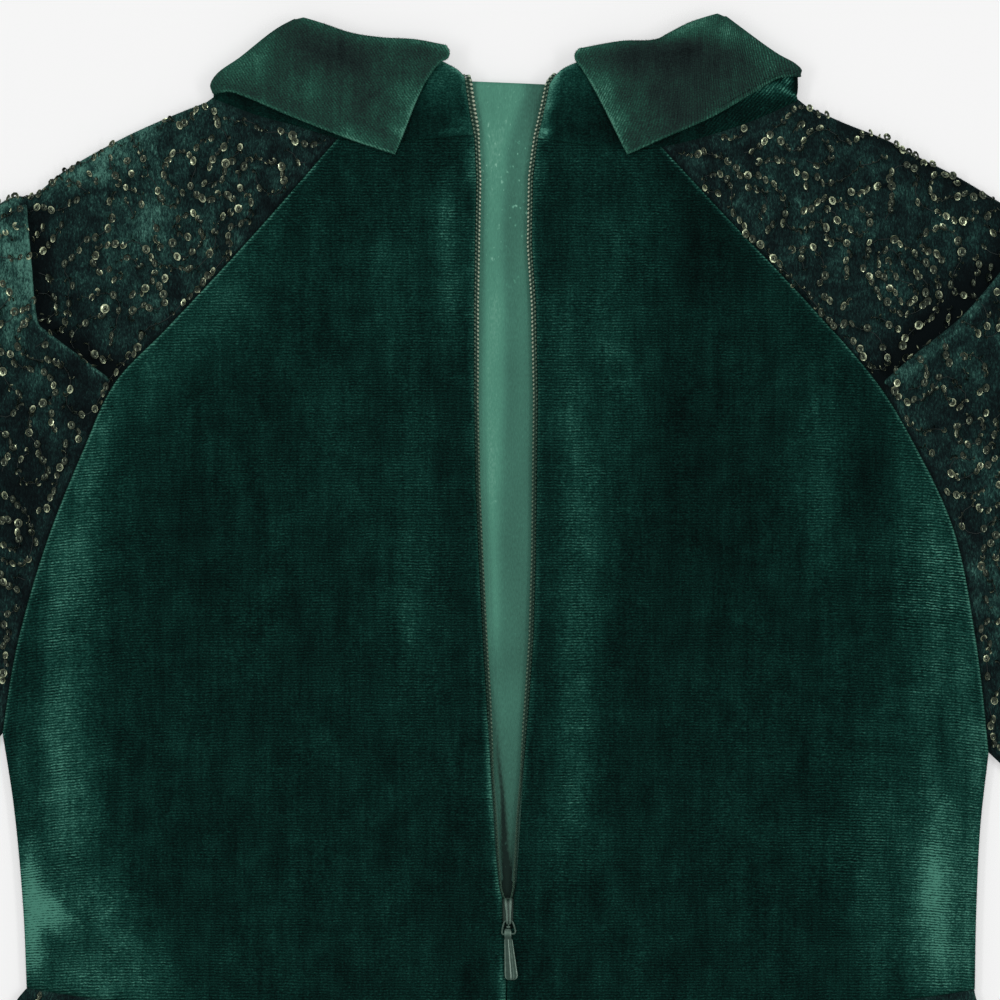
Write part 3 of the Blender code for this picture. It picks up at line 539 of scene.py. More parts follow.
def rise(value, start, reach):
    """0 up to the start, and 1 from the reach beyond it on."""
    return ease((value - start) / reach)


def fall(value, start, reach):
    """0 from the start on, and 1 where the value is less by the reach or more."""
    return ease((start - value) / reach)


def bell(distance, width):
    """1 in the middle, fading to 0 on both sides."""
    return np.exp(-(distance / width)**2)


def band(distance, strength, half_width):
    """Lightness or shade along a line."""
    return strength * bell(distance, half_width)


# Outlines shared by neighbours.

def dipping_line(left, right, shares, end, dip, half):
    """Points of a seam that hangs lowest in the middle."""
    across = left + (right - left) * shares
    return np.column_stack([across, end - dip * (1 - (across / half)**2)])


def waist_line(left, right, shares):
    return dipping_line(left, right, shares, WAIST_END, WAIST_DIP, WAIST_HALF)


def hem_line(shares):
    return dipping_line(-HEM_HALF, HEM_HALF, shares, -HEM_SIDE, HEM_DIP, HEM_HALF)


def skirt_side(side, shares):
    rows = [(OUTWARD[side] * getattr(row, side), WAIST_END - row.drop) for row in SKIRT_SIDE]
    return along(rows, shares)


def bodice_edge(side, rows):
    """Raglan seam and side seam as one line."""
    return np.vstack([along(RAGLAN[side], rows[0] + 1), along(SIDE[side], rows[1] + 1)[1:]])


def column_of(table, side, heights):
    """A side's values, at heights up the zip, from a table of edges."""
    rows = sorted(table)
    return np.interp(heights, [row.height for row in rows], [getattr(row, side) for row in rows])


def opening_edge(side, heights):
    return column_of(OPENING, side, heights)


def up_the_zip(side, heights):
    """Points of the opening's edge."""
    return np.column_stack([opening_edge(side, heights), heights])


def silhouette():
    """Every line where the upper layer of the dress comes down to the lower one."""
    lines = []
    for side in SIDES:
        lines.append(along(SIDE[side], 25))
        lines.append(along(SLEEVE_TOP[side], 81))
        lines.append(along(UNDERARM[side], 31))
        lines.append(skirt_side(side, 41))
        lines.append(np.array([SLEEVE_TOP[side][-1], UNDERARM[side][-1]], float))
    lines.append(hem_line(np.linspace(0, 1, 41)))
    return lines


SILHOUETTE = silhouette()
RAGLAN_LINES = {side: along(RAGLAN[side], 61) for side in SIDES}
WAIST = waist_line(SIDE["left"][-1][0], SIDE["right"][-1][0], np.linspace(0, 1, 61))
EDGE_HEIGHTS = np.linspace(OPENING[-1].height, OPENING[0].height, 173)
OPENING_LINES = {side: up_the_zip(side, EDGE_HEIGHTS) for side in SIDES}
NECK_LINES = {side: along(NECK_SIDE[side] + NECK_BACK[side][1:], 61) for side in SIDES}
# How deep each seam draws the cloth down, and over what half width.
SEAM_DIPS = (
    (RAGLAN_LINES.values(), 0.55, 1.3),
    ([WAIST], 0.8, 1.6),
    (NECK_LINES.values(), 0.5, 1.2),
    (OPENING_LINES.values(), 0.7, 0.9),
)


# Heights of the layers, at the middle of each wall.

def lower_layer(points):
    """Height of the front: flat on the surface, lifted where the front of the collar lies under it."""
    edge = np.interp(np.abs(points[..., 0]), *zip(*FRONT_FALL_EDGE))
    lift = ease((points[..., 1] - edge + COLLAR_LIFT) / (COLLAR_LIFT - COLLAR_CLEAR))
    near_neck = ease((NECK_REACH - np.abs(points[..., 0])) / COLLAR_LIFT)
    return CLOTH / 2 + (CLOTH + GAP) * lift * near_neck


def fold_heights(points):
    heights = np.zeros(points.shape[:-1])
    for x0, y0, x1, y1, half_width, height in FOLDS + CREASES:
        distance, _, way, length = nearest(points, np.array([(x0, y0), (x1, y1)], float))
        reach = FOLD_TAPER * length
        taper = ease(way / reach) * ease((length - way) / reach)
        heights += height * taper * bell(distance, half_width)
    return heights


def by_lip(points, side):
    """Way over a lip's raised side from its edge, way along it and its length."""
    distance, turn, way, length = nearest(points, along(LIPS[side].line, LIP_STEPS))
    return distance * turn * OUTWARD[side], way, length


def lip_heights(points):
    heights = np.zeros(points.shape[:-1])
    for side in SIDES:
        beyond, way, length = by_lip(points, side)
        lifted = LIP_RISE * np.exp(-np.maximum(beyond, 0) / LIP_RUN)
        sunk = -LIP_SINK * np.exp(-np.maximum(-beyond, 0) / LIP_DIP)
        mix = (1 + np.tanh(beyond / LIP_EASE)) / 2
        fade = fall(way, length, LIP_FADE)
        heights += fade * (lifted * mix + sunk * (1 - mix))
    return heights


def lip_shade(points):
    """Painted highlight along each lip, and deep painted shade in the valley before it."""
    change = np.zeros(points.shape[:-1])
    for side in SIDES:
        beyond, way, length = by_lip(points, side)
        ends = ease((length - way) / 4 + 0.5) * ease(way / 30 + 0.25)
        crest = band(beyond - LIP_HIGHLIGHT_PLACE, LIPS[side].crest, LIP_HIGHLIGHT_WIDTH)
        valley = band(np.maximum(-beyond, 0), VALLEY_SHADE, VALLEY_WIDTH)
        change += ends * (crest + valley * (1 - ease((beyond - 1) / VALLEY_END)))
    return change


def seam_dips(points):
    """Cloth is drawn down into every seam and round the edges of the zip."""
    heights = np.zeros(points.shape[:-1])
    for lines, depth, width in SEAM_DIPS:
        for line in lines:
            heights -= band(nearest(points, line)[0], depth, width)
    return heights


def pucker(points):
    """Small uneven swells of soft cloth."""
    x, y = points[..., 0], points[..., 1]
    return (0.10 * np.sin(x / 7.3 + 1.7 * np.sin(y / 23)) * np.sin(y / 11.9 + 0.8 * np.sin(x / 17))
            + 0.06 * np.sin(x / 3.1 + y / 5.7) * np.sin(y / 4.3 - x / 9.1))


def upper_layer(points):
    """Height of the back, rolled down to the front at every edge of the dress."""
    clear = np.full(points.shape[:-1], np.inf)
    for line in SILHOUETTE:
        clear = np.minimum(clear, nearest(points, line)[0])
    swell = AIR + fold_heights(points) + lip_heights(points) + pucker(points) + seam_dips(points)
    return lower_layer(points) + CLOTH + GAP + np.maximum(swell * roll(clear, EDGE_ROLL), 0)


def lining_layer(points):
    return lower_layer(points) + CLOTH / 2 + GAP + LINING / 2


def tape_layer(points):
    return lining_layer(points) + LINING / 2 + GAP + TAPE / 2


def at_height(plan, height):
    """A plan surface with its heights as a third value."""
    return np.concatenate([plan, height(plan)[..., None]], axis=2)


def stroked(points, strokes):
    """Sum of strokes at each point, of painted light and shade or of how much the ribs show."""
    value = np.zeros(points.shape[:-1])
    for rows, half_width, strength in strokes:
        distance, _, way, length = nearest(points, along(rows, STROKE_STEPS))
        reach = STROKE_TAPER * length
        ends = ease(way / reach) * ease((length - way) / reach)
        value += band(distance, strength, half_width) * (STROKE_END + (1 - STROKE_END) * ends)
    return value


# Walls of cloth.

def drawn_in(outline, away, upper, lower, wrap=0):
    """Where a fold's straight parts end, so that its outside bulges just to the outline."""
    spot = outline
    for _ in range(3):
        radius = (upper(spot) - lower(spot))[:, None] / 2
        spot = outline - away * (radius + CLOTH / 2 + wrap)
    return spot


def facing(layer, upwards):
    """Which way a flat layer faces, up or down, at each of its points."""
    direction = np.zeros_like(layer)
    direction[..., 2] = 1 if upwards else -1
    return direction


def link(layers, outward):
    """Joins layers, the first an upper one, with half-round folds that bulge outward."""
    spots, faces = [layers[0]], [facing(layers[0], True)]
    for number, (before, after, away) in enumerate(zip(layers, layers[1:], outward)):
        start, end = before[:, -1], after[:, 0]
        middle, half = (start + end) / 2, (start - end) / 2
        radius = np.abs(half[:, 2])[:, None]
        push = np.column_stack([away, np.zeros(len(away))])
        upward = np.array([0, 0, -1.0 if number % 2 else 1.0])
        for step in range(1, FOLD_STEPS):
            angle = np.pi * step / FOLD_STEPS
            spots.append((middle + half * np.cos(angle) + push * radius * np.sin(angle))[:, None])
            faces.append((push * np.sin(angle) + upward * np.cos(angle))[:, None])
        spots.append(after)
        faces.append(facing(after, number % 2 == 1))
    return np.concatenate(spots, axis=1), np.concatenate(faces, axis=1)


THIN_RIM = 0.2


def fullness(middle, thickness):
    """Share of the thickness at each point of a wall, rounded off towards its rim."""
    across = np.linalg.norm(np.diff(middle, axis=1), axis=2)
    down = np.linalg.norm(np.diff(middle, axis=0), axis=2)
    zero_column = np.zeros((middle.shape[0], 1))
    zero_row = np.zeros((1, middle.shape[1]))
    from_left = np.concatenate([zero_column, np.cumsum(across, axis=1)], axis=1)
    from_right = from_left[:, -1:] - from_left
    from_top = np.concatenate([zero_row, np.cumsum(down, axis=0)], axis=0)
    from_foot = from_top[-1:] - from_top
    rim = np.minimum(np.minimum(from_left, from_right), np.minimum(from_top, from_foot))
    inward = np.clip(rim / (thickness / 2), 0, 1)
    return np.maximum(np.sqrt(1 - (1 - inward)**2), THIN_RIM)


def wall(name, middle, direction, thickness, material, **attributes):
    """A closed wall of cloth about a surface of rows and columns, with values for its material."""
    shift = direction * (thickness / 2 * fullness(middle, thickness))[..., None]
    return closed(name, middle + shift, middle - shift, material, **attributes)


def shell(top, bottom):
    """Corners and outward faces of a closed shell between two surfaces of the same rows and columns."""
    rows, columns = top.shape[:2]
    count = rows * columns
    index = np.arange(count).reshape(rows, columns)
    outer = np.stack([index[:-1, :-1], index[1:, :-1], index[1:, 1:], index[:-1, 1:]], axis=-1)
    outer = outer.reshape(-1, 4)
    rim = np.concatenate([index[0], index[1:, -1], index[-1, -2::-1], index[-2:0:-1, 0]])
    there = np.roll(rim, -1)
    edge = np.stack([rim, there, there + count, rim + count], axis=-1)
    corners = np.concatenate([top.reshape(-1, 3), bottom.reshape(-1, 3)])
    return corners, np.concatenate([outer, outer[:, ::-1] + count, edge])


def closed(name, top, bottom, material, **attributes):
    """A closed mesh between two surfaces, with values for its material."""
    values = {key: np.concatenate([value.reshape(-1)] * 2) for key, value in attributes.items()}
    corners, faces = shell(top, bottom)
    return solid(name, corners, faces.tolist(), material, values)


def solid(name, corners, faces, material, values=None):
    """A mesh object from corners in millimetres, with one value per corner for each attribute."""
    mesh = bpy.data.meshes.new(name)
    mesh.from_pydata(((corners + SHIFT) * MM).tolist(), [], faces)
    mesh.materials.append(material)
    mesh.polygons.foreach_set("use_smooth", [True] * len(mesh.polygons))
    for key, value in (values or {}).items():
        data = mesh.attributes.new(key, "FLOAT", "POINT").data
        data.foreach_set("value", np.asarray(value, np.float32).reshape(-1))
    mesh.update()
    if signed_volume(mesh) < 0:
        mesh.flip_normals()
    return placed(name, mesh)


def placed(name, data):
    """A new object in the scene."""
    thing = bpy.data.objects.new(name, data)
    bpy.context.scene.collection.objects.link(thing)
    return thing


def signed_volume(mesh):
    """Six times the volume that a mesh's faces enclose."""
    mesh.calc_loop_triangles()
    count = len(mesh.loop_triangles)
    triangles = np.empty(count * 3, np.int32)
    mesh.loop_triangles.foreach_get("vertices", triangles)
    spots = np.empty(len(mesh.vertices) * 3, np.float32)
    mesh.vertices.foreach_get("co", spots)
    a, b, c = spots.reshape(-1, 3)[triangles.reshape(-1, 3)].astype(float).transpose(1, 0, 2)
    return float((a * np.cross(b, c)).sum())


# Materials.

def nodes_of(name):
    """A new material, its node tree and its main shader."""
    material = bpy.data.materials.new(name)
    material.use_nodes = True
    tree = material.node_tree
    return material, tree, tree.nodes["Principled BSDF"]


def node(tree, kind, **settings):
    """A new node, with its properties set by name."""
    made = tree.nodes.new(kind)
    for key, value in settings.items():
        setattr(made, key, value)
    return made


def set_inputs(made, values):
    for key, value in values.items():
        made.inputs[key].default_value = value


def feed(tree, target, source):
    """Links an output to an input, or sets the input to a value."""
    if isinstance(source, bpy.types.NodeSocket):
        tree.links.new(source, target)
    else:
        target.default_value = source


def maths(tree, operation, *values):
    made = node(tree, "ShaderNodeMath", operation=operation)
    for socket, value in zip(made.inputs, values):
        feed(tree, socket, value)
    return made.outputs[0]


def attribute(tree, name):
    return node(tree, "ShaderNodeAttribute", attribute_name=name).outputs["Fac"]


def noise(tree, scale, detail=2.0, stretch=None, turn=0.0, distortion=0.0):
    """Noise in the object's own coordinates, in features of about 1 / scale metres."""
    place = node(tree, "ShaderNodeTexCoord").outputs["Object"]
    mapping = node(tree, "ShaderNodeMapping")
    set_inputs(mapping, {"Rotation": (0, 0, turn), "Scale": stretch or (1, 1, 1)})
    tree.links.new(place, mapping.inputs["Vector"])
    made = node(tree, "ShaderNodeTexNoise")
    tree.links.new(mapping.outputs[0], made.inputs["Vector"])
    set_inputs(made, {"Scale": scale, "Detail": detail, "Distortion": distortion})
    return made.outputs["Fac"]


def shade(colour):
    """A display colour from 0 to 255 as the renderer's linear one."""
    part = np.asarray(colour) / 255
    linear = np.where(part <= 0.04045, part / 12.92, ((part + 0.055) / 1.055)**2.4)
    return (*linear.tolist(), 1)


def ramp(tree, value, stops):
    """Colours between stops of (place, display colour)."""
    made = node(tree, "ShaderNodeValToRGB")
    feed(tree, made.inputs[0], value)
    elements = made.color_ramp.elements
    while len(elements) < len(stops):
        elements.new(0.5)
    for element, (place, colour) in zip(elements, stops):
        element.position = place
        element.color = shade(colour)
    return made.outputs["Color"]


def swing(tree, value, amount):
    """A value from 0 to 1 turned into one from minus to plus half the amount."""
    return maths(tree, "MULTIPLY", maths(tree, "SUBTRACT", value, 0.5), amount)


# Unevenness of a surface: how far it swings the lightness, and the noise that it follows.
Uneven = namedtuple("Uneven", "swing scale detail stretch turn distortion", defaults=(None, 0.0, 0.0))


def uneven(tree, rows):
    return [swing(tree, noise(tree, *row[1:]), row.swing) for row in rows]


def total(tree, *values):
    result = values[0]
    for value in values[1:]:
        result = maths(tree, "ADD", result, value)
    return result


def painted(tree, shader, value, stops):
    tree.links.new(ramp(tree, value, stops), shader.inputs["Base Color"])


def bumped(tree, shader, height, strength, distance):
    made = node(tree, "ShaderNodeBump")
    set_inputs(made, {"Strength": strength, "Distance": distance})
    tree.links.new(height, made.inputs["Height"])
    tree.links.new(made.outputs[0], shader.inputs["Normal"])


# Pile colours along its value, from deep painted shade to the palest painted sheen.
PILE_STOPS = (
    (0.0, (4, 12, 11)),
    (0.2, (6, 24, 21)),
    (0.4, (10, 38, 33)),
    (0.6, (19, 58, 50)),
    (0.8, (40, 85, 74)),
    (1.0, (72, 128, 111)),
)
COLLAR_STOPS = (
    (0.0, (12, 18, 18)),
    (0.2, (22, 31, 31)),
    (0.4, (28, 43, 40)),
    (0.6, (31, 61, 52)),
    (0.8, (40, 84, 70)),
    (1.0, (76, 126, 108)),
)
RIB_PITCH = 1.04
COLLAR_RIB_PITCH = 0.90
# Ribs waver in three sizes and break into dashes and patches: each is a gain and an offset.
RIB_WAVER = (Uneven(1.0, 90, 2), Uneven(0.45, 330, 1), Uneven(0.5, 1000, 1))
DASH_GAIN = (2.6, -0.7)
DASH_LEAST = 0.1
PATCH_GAIN = (2.2, -0.1)
NAP_GAIN = (1.5, 0.25)
PILE_MOTTLE = (
    Uneven(0.38, 110, 5, distortion=0.4),
    Uneven(0.28, 170, 3, (1, 0.2, 1)),
    Uneven(0.20, 1000, 1, (1, 0.05, 1)),
)
PILE_GLOSS = {
    "Roughness": 0.9,
    "Specular IOR Level": 0.01,
    "Sheen Weight": 0.02,
    "Sheen Roughness": 0.5,
    "Sheen Tint": (0.25, 0.85, 0.65, 1),
}


def velvet(name, rib_pitch, rib_swing, grain_swing, stops):
    """Ribbed pile: dark between the ribs, mottled where it is brushed, with light and shade painted in by
    its vertex values.
    """
    material, tree, shader = nodes_of(name)
    waver = total(tree, *uneven(tree, RIB_WAVER))
    phase = maths(tree, "ADD", maths(tree, "DIVIDE", attribute(tree, "rib"), rib_pitch), waver)
    wave = maths(tree, "SINE", maths(tree, "MULTIPLY", phase, 2 * np.pi))
    dashes = maths(tree, "MULTIPLY_ADD", noise(tree, 1700, 2, (0.4, 1, 1)), *DASH_GAIN)
    patches = maths(tree, "MULTIPLY_ADD", noise(tree, 240, 3, (0.6, 1, 1)), *PATCH_GAIN)
    strength = maths(tree, "MULTIPLY", maths(tree, "MAXIMUM", dashes, DASH_LEAST), patches)
    lit = maths(tree, "MULTIPLY_ADD", attribute(tree, "nap"), *NAP_GAIN)
    strength = maths(tree, "MULTIPLY", strength, lit)
    ribs = maths(tree, "MULTIPLY", maths(tree, "MULTIPLY", wave, strength), attribute(tree, "wale"))
    grain = noise(tree, 2300, 3, (0.7, 1, 1))
    # The vertex value is the pile's tone with light and shade painted in.
    value = total(tree, attribute(tree, "nap"), maths(tree, "MULTIPLY", ribs, rib_swing),
                  swing(tree, grain, grain_swing), *uneven(tree, PILE_MOTTLE))
    painted(tree, shader, value, stops)
    set_inputs(shader, PILE_GLOSS)
    bumped(tree, shader, total(tree, ribs, grain), strength=0.35, distance=0.00015)
    return material


GROUND_STOPS = (
    (0.0, (6, 11, 13)),
    (0.25, (11, 21, 22)),
    (0.45, (18, 36, 35)),
    (0.65, (33, 62, 57)),
    (1.0, (80, 126, 113)),
)
GROUND_MOTTLE = (Uneven(0.80, 110, 5, distortion=0.6), Uneven(0.55, 150, 3, (1, 0.22, 1)))
GROUND_GLOSS = {
    "Roughness": 0.9,
    "Specular IOR Level": 0.04,
    "Sheen Weight": 0.05,
    "Sheen Roughness": 0.5,
    "Sheen Tint": (0.30, 0.80, 0.70, 1),
}


def streaked(name):
    """Crushed pile under sequins: short streaks that lie in drifting directions."""
    material, tree, shader = nodes_of(name)
    fine = noise(tree, 1500, 3, stretch=(1, 0.45, 1), turn=0.2, distortion=1.2)
    cross = noise(tree, 1900, 3, stretch=(1, 0.35, 1), turn=0.9, distortion=0.9)
    # The vertex value is the ground's tone with light and shade painted in.
    value = total(tree, attribute(tree, "nap"), swing(tree, fine, 0.9), swing(tree, cross, 0.8),
                  *uneven(tree, GROUND_MOTTLE))
    painted(tree, shader, value, GROUND_STOPS)
    set_inputs(shader, GROUND_GLOSS)
    bumped(tree, shader, total(tree, fine, cross), strength=0.6, distance=0.00025)
    return material


LINT_GAIN = (6.0, -3.9)
LINING_STOPS = (
    (0.0, (12, 32, 27)),
    (0.15, (36, 66, 56)),
    (0.3, (50, 92, 79)),
    (0.5, (62, 112, 96)),
    (0.75, (76, 134, 114)),
    (1.0, (116, 168, 147)),
)


def knitted(name):
    """Smooth lining: a fine knit with specks of lint, shaded by its soft folds."""
    material, tree, shader = nodes_of(name)
    knit = noise(tree, 2400, 2, stretch=(1, 0.3, 1))
    cloud = noise(tree, 55, 4, stretch=(1, 0.5, 1))
    specks = maths(tree, "MULTIPLY_ADD", noise(tree, 800, 2, stretch=(1, 0.6, 1)), *LINT_GAIN)
    lint = maths(tree, "MULTIPLY", maths(tree, "MAXIMUM", specks, 0.0), attribute(tree, "lint"))
    # The vertex value is the lining's tone with its painted shade and light.
    value = total(tree, attribute(tree, "nap"), swing(tree, knit, 0.34), swing(tree, cloud, 0.34), lint)
    painted(tree, shader, value, LINING_STOPS)
    set_inputs(shader, {"Roughness": 0.62, "Specular IOR Level": 0.12})
    bumped(tree, shader, knit, strength=0.25, distance=0.0001)
    return material


# Colours from the sequins' dark tone to their palest painted glint.
SEQUIN_STOPS = (
    (0.0, (10, 19, 18)),
    (0.25, (28, 37, 32)),
    (0.5, (66, 72, 58)),
    (0.75, (128, 136, 110)),
    (1.0, (206, 216, 178)),
)
SEQUIN_GLOSS = {
    "Metallic": 0.35,
    "Roughness": 0.14,
    "Specular IOR Level": 0.9,
    "Specular Tint": (0.86, 1.0, 0.70, 1),
}


def spangled():
    """Cupped sequins: dark olive bronze with yellow-green glints painted on, each a little different."""
    material, tree, shader = nodes_of("sequin_bronze")
    value = total(tree, attribute(tree, "tint"), swing(tree, noise(tree, 3000, 2), 0.25))
    painted(tree, shader, value, SEQUIN_STOPS)
    set_inputs(shader, SEQUIN_GLOSS)
    return material


THREAD_DARK = 0.6


def threaded(name, colour, roughness):
    """Twisted thread."""
    material, tree, shader = nodes_of(name)
    twist = noise(tree, 4000, 1)
    dark = tuple(THREAD_DARK * part for part in colour)
    painted(tree, shader, twist, ((0.3, dark), (0.7, colour)))
    set_inputs(shader, {"Roughness": roughness})
    bumped(tree, shader, twist, strength=0.3, distance=0.00008)
    return material


METAL_STOPS = ((0.0, (24, 40, 34)), (0.35, (48, 72, 62)), (0.7, (92, 116, 104)), (1.0, (146, 164, 152)))
METAL_ROUGHNESS = (0.25, 0.26)


def lacquered(name):
    """Lacquered metal, paler where its ridge value is higher, mottled at random."""
    material, tree, shader = nodes_of(name)
    worn = noise(tree, 900, 4, distortion=0.3)
    painted(tree, shader, total(tree, attribute(tree, "ridge"), swing(tree, worn, 0.4)), METAL_STOPS)
    rough = maths(tree, "MULTIPLY_ADD", worn, *METAL_ROUGHNESS)
    tree.links.new(rough, shader.inputs["Roughness"])
    set_inputs(shader, {"Metallic": 0.3})
    bumped(tree, shader, noise(tree, 5000, 2), strength=0.12, distance=0.00005)
    return material


TAPE_STOPS = ((0.0, (6, 26, 21)), (0.3, (16, 52, 43)), (0.6, (44, 88, 75)), (1.0, (84, 132, 114)))


def woven(name):
    """Woven zip tape."""
    material, tree, shader = nodes_of(name)
    weave = noise(tree, 2400, 1, stretch=(1, 0.5, 1))
    # The vertex value is the tape's tone, with shade painted in towards the slider.
    painted(tree, shader, total(tree, attribute(tree, "nap"), swing(tree, weave, 0.35)), TAPE_STOPS)
    set_inputs(shader, {"Roughness": 0.75})
    bumped(tree, shader, weave, strength=0.4, distance=0.0001)
    return material


COIL_STOPS = (
    (0.0, (8, 30, 24)),
    (0.2, (30, 56, 46)),
    (0.45, (76, 102, 86)),
    (0.75, (138, 150, 130)),
    (1.0, (184, 194, 172)),
)


def coiled(name):
    """Moulded coil: dark strands, with highlights painted on their bends."""
    material, tree, shader = nodes_of(name)
    value = total(tree, attribute(tree, "tint"), swing(tree, noise(tree, 1500, 2), 0.3))
    painted(tree, shader, value, COIL_STOPS)
    set_inputs(shader, {"Roughness": 0.5, "Specular IOR Level": 0.12})
    return material


VELVET = velvet("velvet_ribbed", RIB_PITCH, 0.28, 0.95, PILE_STOPS)
COLLAR_VELVET = velvet("velvet_collar", COLLAR_RIB_PITCH, 0.20, 0.78, COLLAR_STOPS)
GROUND = streaked("velvet_ground")
LINING_KNIT = knitted("lining_knit")
SEQUIN = spangled()
THREAD = threaded("sequin_thread", (20, 38, 35), 0.8)
TAPE_WEAVE = woven("tape_weave")
COIL = coiled("zip_coil")
LACQUER = lacquered("zip_lacquer")


# Pieces of cloth.

# Painted light and shade along seams and edges: strength and half width.
BACK_SEAM = (0.46, 0.9)
BACK_ZIP = (0.28, 1.3)
SLEEVE_SEAM = (-0.25, 1.0)
COLLAR_RIM = (0.30, 0.8)
COLLAR_CROWN = (0.22, 2.5)
STAND_EDGE = (0.26, 1.4)
STAND_SEAM = (0.20, 0.9)
STAND_ZIP = {"left": (0.34, 1.7), "right": (0.50, 2.5)}
# Lightness of each piece, and how much its ribs show, before anything is added.
BACK_NAP = 0.30
BACK_WALE = 0.84
LEAST_WALE = 0.1
FRONT_NAP = 0.36
FRONT_WALE = 0.9
SLEEVE_NAP = 0.39
LIP_NAP = 0.38
SKIRT_NAP = 0.40
COLLAR_NAP = 0.50
STAND_NAP = 0.27
COIL_ROOM = 0.5
TURNED_IN = 0.85


def back_panel(side):
    """Half of the back: raglan and side seams on one edge, the zip on the other."""
    outer = bodice_edge(side, (RAGLAN_ROWS, SIDE_ROWS))
    top = NECK_BACK[side][-1][1]
    heights = top + (OPENING[-1].height - top) * graded(RAGLAN_ROWS + SIDE_ROWS)
    zip_edge = up_the_zip(side, heights)
    if side == "left":
        zip_edge[:, 0] -= COIL_ROOM * fall(heights, 215, 30) * rise(heights, 90, 15)
    shares = graded(PANEL_COLUMNS)
    neck = along(NECK_BACK[side], shares)
    waist = waist_line(outer[-1, 0], zip_edge[-1, 0], shares)
    outer[0], outer[-1] = neck[0], waist[0]
    zip_edge[0], zip_edge[-1] = neck[-1], waist[-1]
    plan = patch(outer, zip_edge, shares, neck, waist)
    middle = at_height(plan, upper_layer)
    seam = nearest(plan, RAGLAN_LINES[side])[0]
    lip = nearest(plan, OPENING_LINES[side])[0]
    zip_edge_highlight = band(lip, *BACK_ZIP)
    if side == "right":
        # Above the slider this edge is turned in and catches less light.
        zip_edge_highlight *= 1 - TURNED_IN * fall(plan[..., 1], 78, 10) * rise(plan[..., 1], 34, 4)
    # Painted light and shade: strokes, a highlight along the raglan seam and one along the zip's edge.
    nap = BACK_NAP + stroked(plan, BODICE_PAINTED_LIGHT) + band(seam, *BACK_SEAM) + zip_edge_highlight
    wale = np.maximum(BACK_WALE + stroked(plan, WALE_STROKES), LEAST_WALE)
    return wall(f"back_panel_{side}", middle, facing(middle, True), CLOTH, VELVET, nap=nap,
                rib=bodice_ribs(plan), wale=wale)


def bodice_ribs(plan):
    """Distance across the ribs, which sag a little at the sides."""
    x, y = plan[..., 0], plan[..., 1]
    return y + 5 * (np.abs(x) / 178)**6 - band(y - 10, 2.5, 22) * (np.abs(x) / 150)**3


def front_panel():
    """The one plain panel under the back."""
    left, right = bodice_edge("left", FRONT_ROWS), bodice_edge("right", FRONT_ROWS)
    shares = np.linspace(0, 1, FRONT_PANEL_COLUMNS + 1)
    neck = along(NECK_BACK["left"] + NECK_BACK["right"][::-1], shares)
    waist = waist_line(left[-1, 0], right[-1, 0], shares)
    left[0], left[-1] = neck[0], waist[0]
    right[0], right[-1] = neck[-1], waist[-1]
    plan = patch(left, right, shares, neck, waist)
    middle = at_height(plan, lower_layer)
    nap = FRONT_NAP + 0.12 * np.sin(plan[..., 0] / 31) * np.sin(plan[..., 1] / 47)
    return wall("front_panel", middle, facing(middle, True), CLOTH, VELVET, nap=nap, rib=plan[..., 1],
                wale=np.full(nap.shape, FRONT_WALE))


# The lining's soft fold: height up the zip and place across.
LINING_FOLD = ((110, -4.0), (144, -2.5), (180, -2.5), (216, -0.4), (252, -0.4), (281, -1.4),
               (306, 0.4), (320, 4.3), (326, 6.5))
FOLD_RISE = (0.10, 3.0)
# Towards the slider: height, lightness of the lining, which is painted darker lower down, the two sides of
# the painted shadow in its slot and that shadow's depth.
LINING_SLOT_SHADOW = (
    (34, 0.03, -1.2, 2.3, 1.0), (41, 0.11, -1.2, 2.3, 1.0), (48, 0.16, -1.3, 1.8, 1.0),
    (54, 0.21, -1.5, 0.6, 1.1), (65, 0.27, -1.7, -0.1, 1.2), (74, 0.33, -1.9, -0.7, 1.1),
    (86, 0.38, -3.2, -2.2, 0.75), (100, 0.43, -4.2, -3.2, 0.40), (112, 0.50, -4.6, -3.6, 0.0),
    (130, 0.58, -4.6, -3.6, 0.0),
)
SLOT_SHADOW_SOFTNESS = (0.22, 0.38)
# Painted shade beside the coil, a painted glint, and the band of lint on the lining: strength and half
# width.
COIL_SHADE = (-0.22, 1.0)
LINING_GLINT = (0.07, 3)
LINT_BAND = (0.8, 24)
LINING_CROWDING = 1.6


